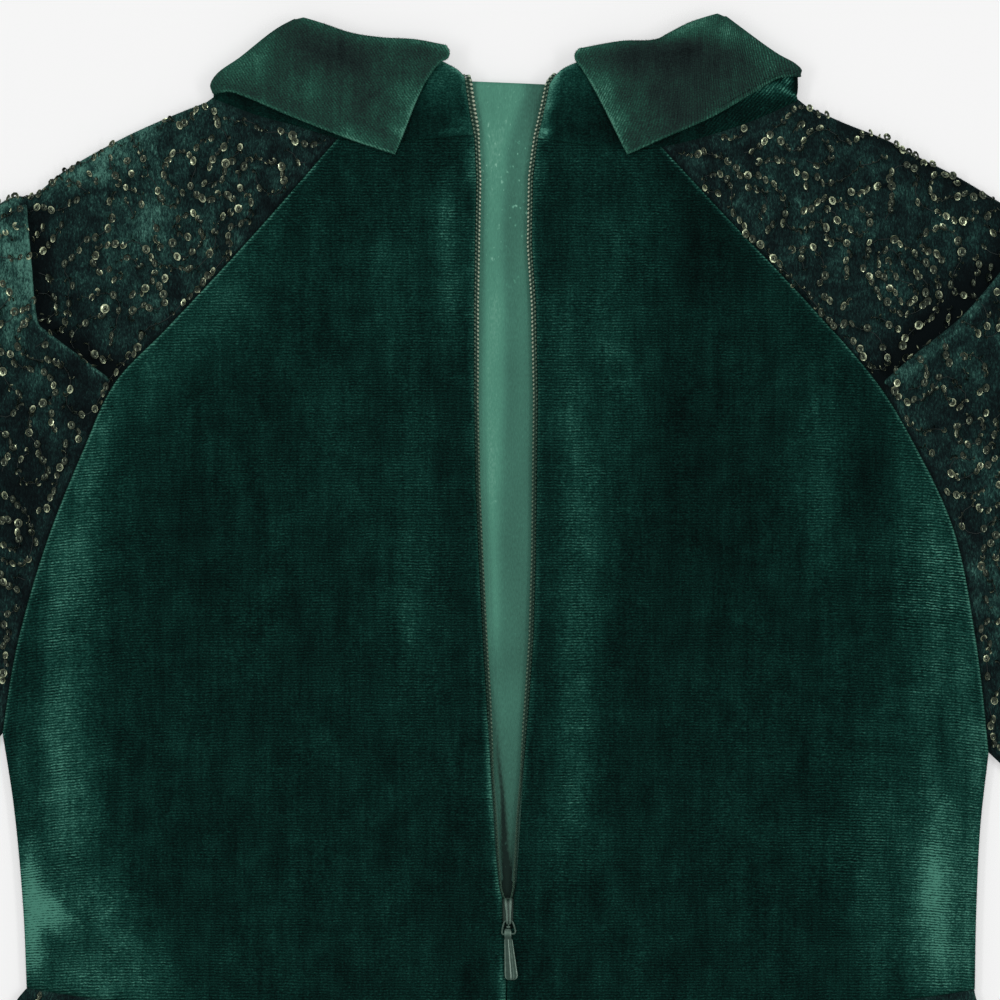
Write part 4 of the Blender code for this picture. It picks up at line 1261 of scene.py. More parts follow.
def lining_panel():
    """The front's lining, where the open zip shows it, with columns crowded towards its middle."""
    edges = []
    for side in SIDES:
        edge = up_the_zip(side, np.linspace(LINING_TOP[side], LINING_FOOT, LINING_ROWS + 1))
        edge[:, 0] += OUTWARD[side] * LINING_MARGIN
        edges.append(edge)
    even = np.linspace(-1, 1, LINING_COLUMNS + 1)
    plan = patch(*edges, 0.5 + 0.5 * np.sign(even) * np.abs(even)**LINING_CROWDING)
    x, y = plan[..., 0], plan[..., 1]
    fold = x - np.interp(y, *zip(*LINING_FOLD))
    height = band(fold, *FOLD_RISE) + 0.05 * np.sin(y / 13 + x / 4)
    middle = at_height(plan, lining_layer)
    middle[..., 2] += height
    beside_coil = x - opening_edge("left", y) - 3.0
    upper = rise(y, 104, 25)
    rows = np.array(LINING_SLOT_SHADOW)
    low, left, right, depth = (np.interp(y, rows[:, 0], rows[:, column]) for column in range(1, 5))
    opened = 1 + np.exp((left - x) / SLOT_SHADOW_SOFTNESS[0])
    slot = np.minimum(depth / opened / (1 + np.exp((x - right) / SLOT_SHADOW_SOFTNESS[1])), 1)
    # Painted light and shade: darker towards the slider, the slot's painted shadow, shade and light on the
    # two sides of the fold, darker at the top, a glint and shade beside the coil.
    nap = (low - (low + 0.06) * slot - 0.18 * upper * np.tanh(fold / 1.8) - 0.07 * rise(y, 302, 22)
           + band(x - 6, *LINING_GLINT) * rise(y, 170, 60) + upper * band(beside_coil, *COIL_SHADE))
    lint = 0.18 + band(y - 292, *LINT_BAND)
    return wall("front_lining", middle, facing(middle, True), LINING, LINING_KNIT, nap=nap, lint=lint)


# Painted light (left) and painted shade (right) along the fold at a sleeve's top.
TOP_PAINTED_LIGHT = {"left": 0.22, "right": -0.04}
TOP_WIDTH = 4.0


def sleeve(side):
    """One piece of cloth from the underarm seam over the top fold and back under the arm."""
    seam = along(RAGLAN[side], RAGLAN_ROWS + 1)
    arm = along(UNDERARM[side], ARM_ROWS + 1)
    inner = np.vstack([seam, arm[1:]])
    top = along(SLEEVE_TOP[side], FINE_STEPS)
    _, _, way, length = nearest(np.array([SLEEVE_TOP[side][BICEP_ROW]], float), top)
    split = float(way[0] / length)
    beside_seam = np.linspace(0, split, RAGLAN_ROWS + 1)
    crest = spread(top, np.concatenate([beside_seam, np.linspace(split, 1, ARM_ROWS + 1)[1:]]))
    away = normals(crest) * OUTWARD[side]
    crest = drawn_in(crest, away, upper_layer, lower_layer)
    across = graded(SLEEVE_COLUMNS, True, False)
    neck = trimmed(NECK_SIDE[side][::-1], across, NECK_TRIM)
    crest[0] = neck[-1]
    upper = at_height(patch(inner, crest, across, neck), upper_layer)
    under = np.linspace(0, 1, UNDER_COLUMNS + 1)
    under_neck = trimmed(NECK_SIDE[side][::-1], under, NECK_TRIM)[::-1]
    lower = at_height(patch(crest, inner, under, under_neck), lower_layer)
    middle, direction = link([upper, lower], [away])
    plan = middle[..., :2]
    seam_gap = nearest(plan, RAGLAN_LINES[side])[0]
    top_gap = nearest(plan, along(SLEEVE_TOP[side], 81))[0]
    # Painted light and shade: strokes, the lips' highlights and valley shade, shade along the raglan seam
    # and along the top fold.
    nap = (SLEEVE_NAP + stroked(plan, SLEEVE_PAINTED_LIGHT) + lip_shade(plan) + band(seam_gap, *SLEEVE_SEAM)
           + band(top_gap, TOP_PAINTED_LIGHT[side], TOP_WIDTH))
    return wall(f"arm_{side}", middle, direction, CLOTH, GROUND, nap=nap)


# A lip's turned edge in section: way over the raised side, height over the sleeve, and the light and shade
# painted on it.
LIP_SECTION = (
    (1.3, -2.3, -0.30), (0.5, -1.9, -0.20), (0.1, -1.3, -0.05), (0.0, -0.7, 0.15), (0.15, -0.25, 0.34),
    (0.5, 0.05, 0.34), (1.0, 0.15, 0.10), (2.2, 0.18, 0.0), (3.6, 0.15, 0.0), (5.5, 0.1, 0.0),
    (8.0, 0.0, 0.0), (11.0, -0.25, 0.0), (14.0, -0.7, 0.0),
)
LIP_CLOTH = 0.8
LIP_LIFT = 0.15
LIP_CLEAR = 1.8
LIP_START = 0.075
LIP_ROWS = 110
LIP_ENDS = 0.04
LIP_TUCK = 1.2


def lip_edge(side):
    """The turned edge where the lower sleeve lies over the shoulder in a fold."""
    lip = LIPS[side]
    line = spread(along(lip.line, 300), np.linspace(LIP_START, 1, LIP_ROWS))
    outward = (normals(line) * OUTWARD[side])[:, None]
    place, rise_over, light = np.array(LIP_SECTION).T
    plan = line[:, None] + outward * place[None, :, None]
    settled = line[:, None] + outward * np.maximum(place, LIP_CLEAR)[None, :, None]
    way = shares_of(line)[:, None]
    shrink = fall(way, 1, LIP_ENDS) * ease(way / LIP_ENDS + 0.4)
    height = upper_layer(settled) + rise_over * shrink + LIP_LIFT - LIP_TUCK * (1 - shrink)
    middle = np.concatenate([plan, height[..., None]], axis=2)
    # Painted light on the turned edge, stronger further along, and the crest's painted highlight near its
    # start.
    nap = (LIP_NAP + stroked(plan, SLEEVE_PAINTED_LIGHT) + light * (0.45 + 0.55 * way) * lip.glint
           + lip.crest * 0.7 * (1 - way))
    return wall(f"lip_{side}", middle, surface_normals(middle), LIP_CLOTH, GROUND, nap=nap)


def surface_normals(middle):
    """Unit normals of a surface of rows and columns, turned upwards where it is flat."""
    cross = np.cross(np.gradient(middle, axis=1), np.gradient(middle, axis=0))
    cross /= np.linalg.norm(cross, axis=2)[..., None]
    return cross if cross[..., -3, 2].mean() > 0 else -cross


def skirt_panel(name, height, rows, shares):
    """One panel of the skirt, from the waist seam to the hem."""
    down = graded(rows, True, False)
    left, right = skirt_side("left", down), skirt_side("right", down)
    waist = waist_line(left[0, 0], right[0, 0], shares)
    left[0], right[0] = waist[0], waist[-1]
    plan = patch(left, right, shares, waist, hem_line(shares))
    middle = at_height(plan, height)
    nap = SKIRT_NAP + 0.12 * np.sin(plan[..., 0] / 24 + 0.6) + 0.05 * np.sin(plan[..., 1] / 33)
    return wall(name, middle, facing(middle, True), CLOTH, GROUND, nap=nap)


# Below the collar's fall the stand's side fold goes on down to the neck seam.
STAND_FOLD = {"left": (), "right": ((105.9, 329.0), (105.2, 324.6))}


def collar_side(side, shares, further=()):
    """The side fold of the collar, drawn in from the outline, and its outward direction."""
    fold = along(FALL_FOLD[side] + further, shares)
    return fold, normals(fold) * OUTWARD[side]


def fall_upper(points, share=1.0):
    """Height of the collar over the back: level with the stand at the roll, above it elsewhere."""
    return upper_layer(points) + (CLOTH + GAP + FALL_LIFT) * share


def fall_lower(points, share=1.0):
    """Height of the collar under the front: on the surface, but level with the stand at the roll."""
    return CLOTH / 2 + (CLOTH + GAP) * (1 - share)


def gap_to(points, *lines):
    """Distance to the nearest of several lines."""
    return np.min([nearest(points, line)[0] for line in lines], axis=0)


def from_roll(points, roll_line):
    return roll(gap_to(points, roll_line), COLLAR_ROLL)


def mirrored(rows, side):
    """Rows written for the left side, turned over for the right."""
    return [(-OUTWARD[side] * x, y) for x, y in rows]


TURN_REACH = 6.0


def turned(away, crease, first, last):
    """Fold directions that, near both ends of a crease, carry on along the edges that run into it."""
    away = away.copy()
    travelled = np.concatenate([[0], np.cumsum(np.linalg.norm(np.diff(crease, axis=0), axis=1))])
    for gap, line in ((travelled, first), (travelled[-1] - travelled, last)):
        run = line[-1] - line[-2]
        run /= np.linalg.norm(run)
        share = ease(1 - gap / TURN_REACH)[:, None]
        away = run * share + away * (1 - share)
        away /= np.linalg.norm(away, axis=1)[:, None]
    return away


def collar_ribs(side, plan):
    """Distance across the collar's ribs, which fan out from the zip to the side fold."""
    x, y = plan[..., 0], plan[..., 1]
    if side == "left":
        return 0.80 * x + 0.60 * y + 1.2 * np.sin(y / 15)
    return 0.90 * (x - 60) - (y - 320) * (0.5 - 0.8 * ease((x - 30) / 65))


def collar_fall(side):
    """One side of the turned-down collar, from its point at the zip round to centre front."""
    down = graded(COLLAR_ROWS)
    across = graded(COLLAR_COLUMNS, True, False)
    fold, away = collar_side(side, down)
    crease = drawn_in(fold, away, fall_upper, fall_lower)
    end = along(FALL_END[side], down)
    rolled = trimmed(FALL_ROLL[side], across, FALL_TRIM)
    lower_edge = trimmed(FALL_LOWER[side], across, FALL_TRIM)
    crease[0], crease[-1] = rolled[-1], lower_edge[-1]
    away = turned(away, crease, rolled, lower_edge)
    above = patch(end, crease, across, rolled, lower_edge)
    upper = np.concatenate([above, fall_upper(above, from_roll(above, rolled))[..., None]], axis=2)
    front = np.linspace(0, 1, FRONT_COLUMNS + 1)
    front_roll = along([crease[0]] + mirrored(FRONT_ROLL, side), front)
    front_edge = along([crease[-1]] + mirrored(FRONT_LOWER, side), front)
    centre = along([front_roll[-1], front_edge[-1]], down)
    below = patch(crease, centre, front, front_roll, front_edge)
    lower = np.concatenate([below, fall_lower(below, from_roll(below, front_roll))[..., None]], axis=2)
    middle, direction = link([upper, lower], [away])
    plan = middle[..., :2]
    rib = collar_ribs(side, plan)
    # Painted light and shade: strokes, a highlight along the end and lower edge, and one along the roll.
    nap = (COLLAR_NAP + stroked(plan, COLLAR_PAINTED_LIGHT) + band(gap_to(plan, end, lower_edge), *COLLAR_RIM)
           + band(gap_to(plan, rolled), *COLLAR_CROWN))
    wale = 0.55 + 0.45 * rise(plan[..., 0], 60, 30)
    return wall(f"collar_wing_{side}", middle, direction, CLOTH, COLLAR_VELVET, nap=nap, rib=rib, wale=wale)


def stand_half(side, down):
    """Upper half of the stand on one side, from its end at the zip to its side fold."""
    fold, away = collar_side(side, down, STAND_FOLD[side])
    wrap = (CLOTH + GAP + STAND_SLACK) * (1 - 0.8 * rise(down[:, None], 0.6, 0.4))
    crease = drawn_in(fold, away, upper_layer, lower_layer, wrap)
    across = graded(COLLAR_COLUMNS)
    seam = trimmed((NECK_SIDE[side][:-1] + NECK_BACK[side])[::-1], across, SEAM_TRIM)
    heights = seam[0, 1] + (STAND_TOP[side] - seam[0, 1]) * (1 - down)
    end = up_the_zip(side, heights)
    rolled = trimmed(FALL_ROLL[side], np.linspace(0, 1, 5), STAND_TRIM)
    inward = normals(rolled) * -OUTWARD[side]
    top = along([end[0], *STAND_BEND[side], *(rolled + inward * STAND_SHORT)[1:]], across)
    crease[0], crease[-1] = top[-1], seam[-1]
    away = turned(away, crease, top, seam)
    return patch(end, crease, across, top, seam), crease, away


def collar_stand():
    """The band under the collar, one piece from one side of the zip round to the other."""
    down = graded(STAND_ROWS)
    left, left_crease, left_away = stand_half("left", down)
    right, right_crease, right_away = stand_half("right", down)
    front = np.linspace(0, 1, 2 * FRONT_COLUMNS + 1)
    dropped = [(x, y - STAND_DROP) for x, y in FRONT_ROLL[:-1]]
    top = along([left_crease[0], *dropped, *mirrored(dropped[::-1], "right"), right_crease[0]], front)
    neck = NECK_SIDE["left"][1:] + NECK_BACK["left"][1:]
    neck += (NECK_SIDE["right"][1:] + NECK_BACK["right"][1:])[::-1]
    seam = along([left_crease[-1], *neck, right_crease[-1]], front)
    below = patch(left_crease, right_crease, front, top, seam)
    layers = [at_height(left, upper_layer), at_height(below, lower_layer),
              at_height(right[:, ::-1], upper_layer)]
    middle, direction = link(layers, [left_away, right_away])
    plan = middle[..., :2]
    x, y = plan[..., 0], plan[..., 1]
    from_zip = np.abs(x)
    edge_gap = gap_to(plan, *OPENING_LINES.values())
    zip_edge_highlight = np.where(x < 0, band(edge_gap, *STAND_ZIP["left"]), band(edge_gap, *STAND_ZIP["right"]))
    zip_edge_highlight *= 1 - 0.45 * rise(y, 322, 8)
    top_edge_highlight = band(gap_to(plan, left[0], right[0]), *STAND_EDGE) * (1 - rise(from_zip, 40, 20))
    # Painted light and shade: lighter high up near the zip, darker away from it, highlights along the top
    # edge, neck seam and zip's edges, and strokes.
    nap = (STAND_NAP + 0.26 * rise(y, 312, 26) * (1 - rise(from_zip, 30, 14))
           - 0.10 * rise(from_zip, 24, 16) + top_edge_highlight + stroked(plan, STAND_PAINTED_LIGHT)
           + band(gap_to(plan, *NECK_LINES.values()), *STAND_SEAM) + zip_edge_highlight)
    steep = rise(from_zip, 40, 30)
    rib = y * (1 - 0.34 * steep) - 0.75 * from_zip * steep
    wale = 0.14 + 0.80 * rise(x, 50, 30)
    return wall("neck_band", middle, direction, CLOTH, VELVET, nap=nap, rib=rib, wale=wale)


# How far the tapes show inside the edge of the opening, at heights up the zip.
TAPE_INSET = ((70, 1.7), (96, 0.6))
TAPE_FOOT = -8
SLIDER_ROOM = (22, 42)


def zip_tape(side):
    """A tape under one edge of the opening, held clear of the slider."""
    heights = np.linspace(TAPE_TOP[side], TAPE_FOOT, TAPE_ROWS)
    seam = opening_edge(side, heights)
    edge = seam - OUTWARD[side] * np.interp(heights, *zip(*TAPE_INSET))
    beside = ZIP_X + OUTWARD[side] * SLIDER_HALF
    low, high = SLIDER_ROOM
    inner = np.where(heights > high, edge, np.where(heights > low, beside, seam))
    line = np.column_stack([inner, heights])
    outer = line + np.array([OUTWARD[side] * TAPE_WIDTH, 0])
    plan = patch(line, outer, np.linspace(0, 1, 7))
    middle = at_height(plan, tape_layer)
    # Lighter low on the zip, then darker again towards its foot, where shade is painted by the slider.
    pale = 0.24 + 0.36 * fall(heights, 104, 30) - 0.22 * fall(heights, 72, 28)
    nap = np.repeat(pale[:, None], plan.shape[1], axis=1)
    return wall(f"tape_{side}", middle, facing(middle, True), TAPE, TAPE_WEAVE, nap=nap)


def make_cloth():
    """Every panel, standing for its solid, with the size of its cut."""
    made = {}
    back = np.linspace(0, 1, SKIRT_COLUMNS + 1)
    front = np.linspace(0, 1, SKIRT_FRONT[1] + 1)
    made["skirt_front"] = skirt_panel("skirt_under", lower_layer, SKIRT_FRONT[0], front)
    made["skirt_back"] = skirt_panel("skirt_top", upper_layer, SKIRT_ROWS, back)
    made["bodice_front"] = front_panel()
    made["lining_front"] = lining_panel()
    made["collar_stand"] = collar_stand()
    for side in SIDES:
        made[f"bodice_back_{side}"] = back_panel(side)
        made[f"sleeve_{side}"] = sleeve(side)
        made[f"collar_fall_{side}"] = collar_fall(side)
        made[f"zip_tape_{side}"] = zip_tape(side)
    return made


Cut = namedtuple("Cut", "node slot width length area rests_on")
CUTS = (
    Cut("skirt_front", "sequined_velvet", 0.504, 0.436, 0.183, ()),
    Cut("skirt_back", "sequined_velvet", 0.504, 0.436, 0.183, ("skirt_under",)),
    Cut("bodice_front", "velvet", 0.356, 0.322, 0.093, ()),
    Cut("lining_front", "lining", 0.062, 0.314, 0.0155, ("front_panel",)),
    Cut("collar_stand", "velvet", 0.40, 0.034, 0.0104, ()),
    Cut("bodice_back_left", "velvet", 0.182, 0.322, 0.045, ("front_panel",)),
    Cut("bodice_back_right", "velvet", 0.174, 0.321, 0.043, ("front_panel",)),
    Cut("sleeve_left", "sequined_velvet", 0.300, 0.560, 0.118, ()),
    Cut("sleeve_right", "sequined_velvet", 0.300, 0.560, 0.119, ()),
    Cut("collar_fall_left", "velvet", 0.180, 0.040, 0.0060, ("neck_band",)),
    Cut("collar_fall_right", "velvet", 0.180, 0.040, 0.0059, ("neck_band",)),
    Cut("zip_tape_left", "zip_tape", 0.011, 0.341, 0.0037, ("front_lining",)),
    Cut("zip_tape_right", "zip_tape", 0.011, 0.341, 0.0037, ("front_lining",)),
)

CLOTH_PIECES = make_cloth()


# Sequins on their threads.

def inside(points, outline):
    """Which points lie inside a closed outline."""
    x, y = points[:, 0, None], points[:, 1, None]
    x0, y0 = outline[:, 0], outline[:, 1]
    x1, y1 = np.roll(x0, -1), np.roll(y0, -1)
    crosses = (y0 > y) != (y1 > y)
    climb = np.where(y1 == y0, 1e-9, y1 - y0)
    return (crosses & (x < x0 + (y - y0) * (x1 - x0) / climb)).sum(1) % 2 == 1


SEQUIN_STEP = 3.05
MOST_SPOTS = 40000
LONGEST = 90
# How a line wanders: turns to choose from, its bends in degrees and how often it changes them.
TURNS = np.radians(np.linspace(-62, 62, 13))
FIRST_BEND = (8, 46)
NEXT_BEND = (6, 52)
CHANGE = 0.17
RESTLESS = 0.30
RIM_SPREAD = 0.8
OWN_GAP = 0.92
BLOCKED = 100


def wander(chance, start, outline, rim, taken, margin, gap):
    """One line of points that bends as it goes on, until no way ahead is clear."""
    heading = chance.random() * 2 * np.pi
    bend = np.radians(chance.uniform(*FIRST_BEND)) * chance.choice((-1, 1))
    line = [start]
    keep = margin + chance.exponential(RIM_SPREAD)
    for _ in range(LONGEST):
        if chance.random() < CHANGE:
            bend = -np.sign(bend) * np.radians(chance.uniform(*NEXT_BEND))
        angles = heading + TURNS
        options = line[-1] + SEQUIN_STEP * np.column_stack([np.cos(angles), np.sin(angles)])
        clear = inside(options, outline) & (nearest(options, rim)[0] > keep)
        for others, least in ((taken, gap), (np.array(line[:-3]), gap * OWN_GAP)):
            if len(others):
                apart = np.linalg.norm(options[:, None] - others[None], axis=2).min(1)
                clear &= apart > least
        if not clear.any():
            break
        cost = np.abs(TURNS - bend) + np.where(clear, 0, BLOCKED) + chance.random(len(TURNS)) * RESTLESS
        best = int(cost.argmin())
        heading = angles[best]
        line.append(options[best])
    return line


def meanders(outline, seed, margin, gap, patience):
    """Wandering lines that fill an outline and keep clear of each other, as lists of points."""
    chance = np.random.default_rng(seed)
    low, high = outline.min(0), outline.max(0)
    taken = np.empty((MOST_SPOTS, 2))
    count = 0
    rim = np.vstack([outline, outline[:1]])
    lines = []
    misses = 0
    while misses < patience:
        start = low + chance.random(2) * (high - low)
        near = count and (np.linalg.norm(taken[:count] - start, axis=1).min() < gap)
        if near or not inside(start[None], outline)[0] or nearest(start[None], rim)[0][0] < margin:
            misses += 1
            continue
        misses = 0
        line = wander(chance, start, outline, rim, taken[:count], margin, gap)
        taken[count:count + len(line)] = line
        count += len(line)
        if len(line) > 1:
            lines.append(np.array(line))
    return lines


# Radii and heights of a sequin's rings, from its hole to its rim, and the lightness and glint painted on
# each.
Cup = namedtuple("Cup", "rings base glint sides")
FINE_CUP = Cup(((0.42, 0.04), (0.70, 0.08), (1.28, 0.30), (1.60, 0.52)), (0.34, 0.02, 0.10, 0.46),
               (0.35, 0.15, 0.85, 1.0), 8)
PLAIN_CUP = Cup(((0.42, 0.04), (1.16, 0.26), (1.56, 0.50)), (0.2, 0.06, 0.42), (0.3, 0.5, 0.8), 6)
# How unevenly sequins lie: random tilt, the share that leans steeply, both ranges of slope, and
# the ranges of size and of narrowing.
WOBBLE = 0.42
STEEP_SHARE = 0.26
STEEP_SLOPE = (0.6, 1.15)
FLAT_SLOPE = (0.05, 0.45)
SIZES = (0.86, 1.08)
SQUASH = (0.55, 0.95)
# Light painted on them: each disc's own painted brightness, and painted glints on a few sides of each ring,
# spread onto the next side.
GLOW_SPREAD = (1.2, 2.2)
GLOW = 0.96
GLINT_RARITY = 4
GLINT_SPREAD = 0.6


def sequins(name, spots, up, lean, cup, seed):
    """One mesh of cupped discs, each leaning along its thread and a little at random."""
    chance = np.random.default_rng(seed)
    count = len(spots)
    wobble = chance.normal(0, WOBBLE, (count, 2))
    steep = chance.random(count) < STEEP_SHARE
    pitch = np.where(steep, chance.uniform(*STEEP_SLOPE, count), chance.uniform(*FLAT_SLOPE, count))
    side_way = np.cross(up, lean)
    axis = (up * np.cos(pitch)[:, None] + lean * np.sin(pitch)[:, None]
            + side_way * wobble[:, :1] + lean * wobble[:, 1:] * 0.5)
    axis /= np.linalg.norm(axis, axis=1)[:, None]
    across = np.cross(axis, lean)
    across /= np.linalg.norm(across, axis=1)[:, None]
    forward = np.cross(across, axis)
    angles = np.arange(cup.sides) * 2 * np.pi / cup.sides
    size = chance.uniform(*SIZES, count)
    squash = chance.uniform(*SQUASH, count)[:, None, None]
    corners = []
    for radius, height in cup.rings:
        ring = (np.cos(angles)[None, :, None] * across[:, None] * squash
                + np.sin(angles)[None, :, None] * forward[:, None])
        corners.append(spots[:, None] + size[:, None, None] * (ring * radius + axis[:, None] * height))
    corners = np.stack(corners, axis=1)
    # Painted light: a brightness for each disc, ring lightness and glints on a few sides.
    glow = chance.beta(*GLOW_SPREAD, count)[:, None, None] * GLOW
    facet_glints = chance.random((count, cup.sides))**GLINT_RARITY
    facet_glints = (facet_glints + np.roll(facet_glints, 1, axis=1) * GLINT_SPREAD)[:, None]
    facet_glints = facet_glints * np.array(cup.glint)[None, :, None]
    tint = glow * 0.30 - 0.03 + np.array(cup.base)[None, :, None] * (0.40 + 0.9 * glow)
    tint = tint + facet_glints * (0.50 + 1.2 * glow)
    faces = tubes(count, len(cup.rings), cup.sides)
    return solid(name, corners.reshape(-1, 3), faces, SEQUIN, {"tint": tint})


def loops(ring, sides, rings=None):
    """Faces between one ring of points and the next, or back to the first."""
    here = ring * sides + np.arange(sides)
    beside = ring * sides + (np.arange(sides) + 1) % sides
    after = sides if rings is None or ring + 1 < rings else -ring * sides
    return np.stack([here, beside, beside + after, here + after], axis=-1)


def tubes(count, rings, sides):
    """Faces of many short tubes of the same rings."""
    faces = np.concatenate([loops(ring, sides) for ring in range(rings - 1)])
    faces = (np.arange(count) * rings * sides)[:, None, None] + faces[None]
    return faces.reshape(-1, 4).tolist()


NORMAL_STEP = 0.5


def lie_on(lines, height):
    """Points in space, cloth normals and thread directions for plan lines on a cloth surface."""
    points = np.vstack(lines)
    along_line = np.vstack([np.gradient(line, axis=0) for line in lines])
    along_line /= np.linalg.norm(along_line, axis=1)[:, None]
    here = height(points)
    steps = np.array([(NORMAL_STEP, 0), (0, NORMAL_STEP)])
    slope = np.column_stack([(height(points + step) - here) / NORMAL_STEP for step in steps])
    up = np.column_stack([-slope, np.ones(len(points))])
    up /= np.linalg.norm(up, axis=1)[:, None]
    spots = np.column_stack([points, here]) + up * (CLOTH / 2)
    lean = np.column_stack([along_line, (slope * along_line).sum(1)])
    lean /= np.linalg.norm(lean, axis=1)[:, None]
    return spots, up, lean


THREAD_RADIUS = 0.13
THREAD_LIFT = 0.12
THREAD_ANGLES = (0.5, 2.6, 4.7)


def thread(name, lines, height, material, points):
    """Three-sided thread from sequin to sequin, arched a little between them."""
    corners, faces, start = [], [], 0
    for line in lines:
        dense = spread(line, np.linspace(0, 1, points * (len(line) - 1) + 1))
        spots, up, lean = lie_on([dense], height)
        spots = spots + up * (THREAD_LIFT + THREAD_LIFT * (np.arange(len(dense)) % 2))[:, None]
        across = np.cross(up, lean)
        for angle in THREAD_ANGLES:
            corners.append(spots + THREAD_RADIUS * (np.cos(angle) * across + np.sin(angle) * up))
        count = len(dense)
        here = np.arange(count - 1)
        for edge in range(3):
            a, b = start + edge * count, start + (edge + 1) % 3 * count
            faces.append(np.stack([a + here, a + here + 1, b + here + 1, b + here], axis=-1))
        start += 3 * count
    return solid(name, np.vstack(corners), np.vstack(faces).tolist(), material)


MARGIN = 1.6


def sleeve_outline(side):
    """The sleeve in plan, with the fold at its top, which sequins go round, just inside."""
    top = along(SLEEVE_TOP[side], 120)
    away = normals(top) * OUTWARD[side]
    seam = np.vstack([along(RAGLAN[side], 60), along(UNDERARM[side], 50)[1:]])
    neck = along(NECK_SIDE[side][::-1], 14)
    return np.vstack([top + away * MARGIN, seam[::-1], neck[1:-1]])


def skirt_outline(low, high):
    """The skirt in plan between two places across."""
    left, right = (skirt_side(side, 60) for side in SIDES)
    shares = np.linspace(0, 1, 40)
    waist = waist_line(SKIRT_SIDE[0].right, -SKIRT_SIDE[0].left, shares)
    outline = np.vstack([left, hem_line(shares)[1:-1], right[::-1], waist[1:-1]])
    outline[:, 0] = np.clip(outline[:, 0], low, high)
    return outline


LOST = 0.07
ASTRAY = 0.42
SEQUIN_LIFT = 0.25
ALONG_THREAD = 0.5
DOWNWARD = 0.8


def belongs(piece, body="dress"):
    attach(piece, body)


def spangle(name, outline, seed, cup=FINE_CUP, gap=4.5, patience=400):
    """Sequins and thread over one stretch of cloth, as pieces that go with its panel."""
    lines = meanders(outline, seed, MARGIN, gap, patience)
    chance = np.random.default_rng(seed + 2)
    spots, up, lean = lie_on(lines, upper_layer)
    astray = lean * chance.normal(0, ASTRAY, (len(spots), 1))
    spots += astray + np.cross(up, lean) * chance.normal(0, ASTRAY, (len(spots), 1))
    kept = chance.random(len(spots)) > LOST
    level = np.zeros(len(lean))
    upright = np.column_stack([level, np.where(lean[:, 1] < 0, -1, 1), level])
    lean = lean * ALONG_THREAD + upright * DOWNWARD
    lean /= np.linalg.norm(lean, axis=1)[:, None]
    raised = spots + up * SEQUIN_LIFT
    made = [sequins(f"sequins_{name}", raised[kept], up[kept], lean[kept], cup, seed + 1)]
    made.append(thread(f"thread_{name}", lines, upper_layer, THREAD, 2 if cup is FINE_CUP else 1))
    for piece in made:
        belongs(piece)
    return made


PLAIN_LAY = (PLAIN_CUP, 5.6, 150)
EXTRAS = {node_name: [] for node_name in CLOTH_PIECES}
EXTRAS["sleeve_left"] = spangle("arm_left", sleeve_outline("left"), 11)
EXTRAS["sleeve_right"] = spangle("arm_right", sleeve_outline("right"), 12)
EXTRAS["skirt_back"] = (spangle("skirt_left", skirt_outline(-260, 0), 13, *PLAIN_LAY)
                        + spangle("skirt_right", skirt_outline(0, 260), 14, *PLAIN_LAY))

for side in SIDES:
    turned_edge = lip_edge(side)
    belongs(turned_edge)
    EXTRAS[f"sleeve_{side}"].append(turned_edge)

for cut in CUTS:
    panel = CLOTH_PIECES[cut.node]
    belongs(panel)
    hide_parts(cut.node)


# Pile that stands out at edges.

# Each edge's blades carry a painted lightness, lighter than the cloth they stand out from.
Fringe = namedtuple("Fringe", "line height outward nap")


def fringe_lines():
    """Edges whose pile is seen against what lies behind them."""
    made = []
    for side in SIDES:
        out = OUTWARD[side]
        end = along(FALL_END[side], 260)
        lower = along(FALL_LOWER[side], 360)
        top = along(FALL_ROLL[side], 300)[:250]
        stand = spread(stand_half(side, graded(STAND_ROWS))[0][0], np.linspace(0, 0.35, 120))
        opening = up_the_zip(side, np.linspace(STAND_TOP[side], 44, 900))
        raglan = along(RAGLAN[side], 800)
        flank = along(SIDE[side], 300)
        shoulder = along(SLEEVE_TOP[side], 1500)[:760]
        to_zip = np.tile([-out, 0.0], (len(opening), 1))
        made += [
            Fringe(end, fall_upper(end), normals(end) * -out, 0.80),
            Fringe(lower, fall_upper(lower), normals(lower) * -out, 0.78),
            Fringe(top, fall_upper(top, 0.1), normals(top) * out, 0.72),
            Fringe(stand, upper_layer(stand), normals(stand) * out, 0.58),
            Fringe(opening, upper_layer(opening) + 0.3, to_zip, 0.62),
            Fringe(raglan, upper_layer(raglan) + 0.5, normals(raglan) * out, 0.60),
            Fringe(flank, lower_layer(flank) + 1.0, normals(flank) * out, 0.52),
            Fringe(shoulder, lower_layer(shoulder) + 1.2, normals(shoulder) * out, 0.46),
        ]
    return made


# Blades to each step of an edge, their sizes, and how low they start and how far they rise.
FRINGE_BLADES = 2
FRINGE_WIDTH = 0.07
FRINGE_ROOT = 0.25
FRINGE_LENGTH = (0.05, 0.5)
FRINGE_SLANT = 0.6
FRINGE_LOW = (-0.2, 0.5)
FRINGE_RISE = (-0.2, 0.45)
FRINGE_WALE = 0.4
BLADE_FACES = ((0, 1, 2), (0, 3, 1), (1, 3, 2), (2, 3, 0))


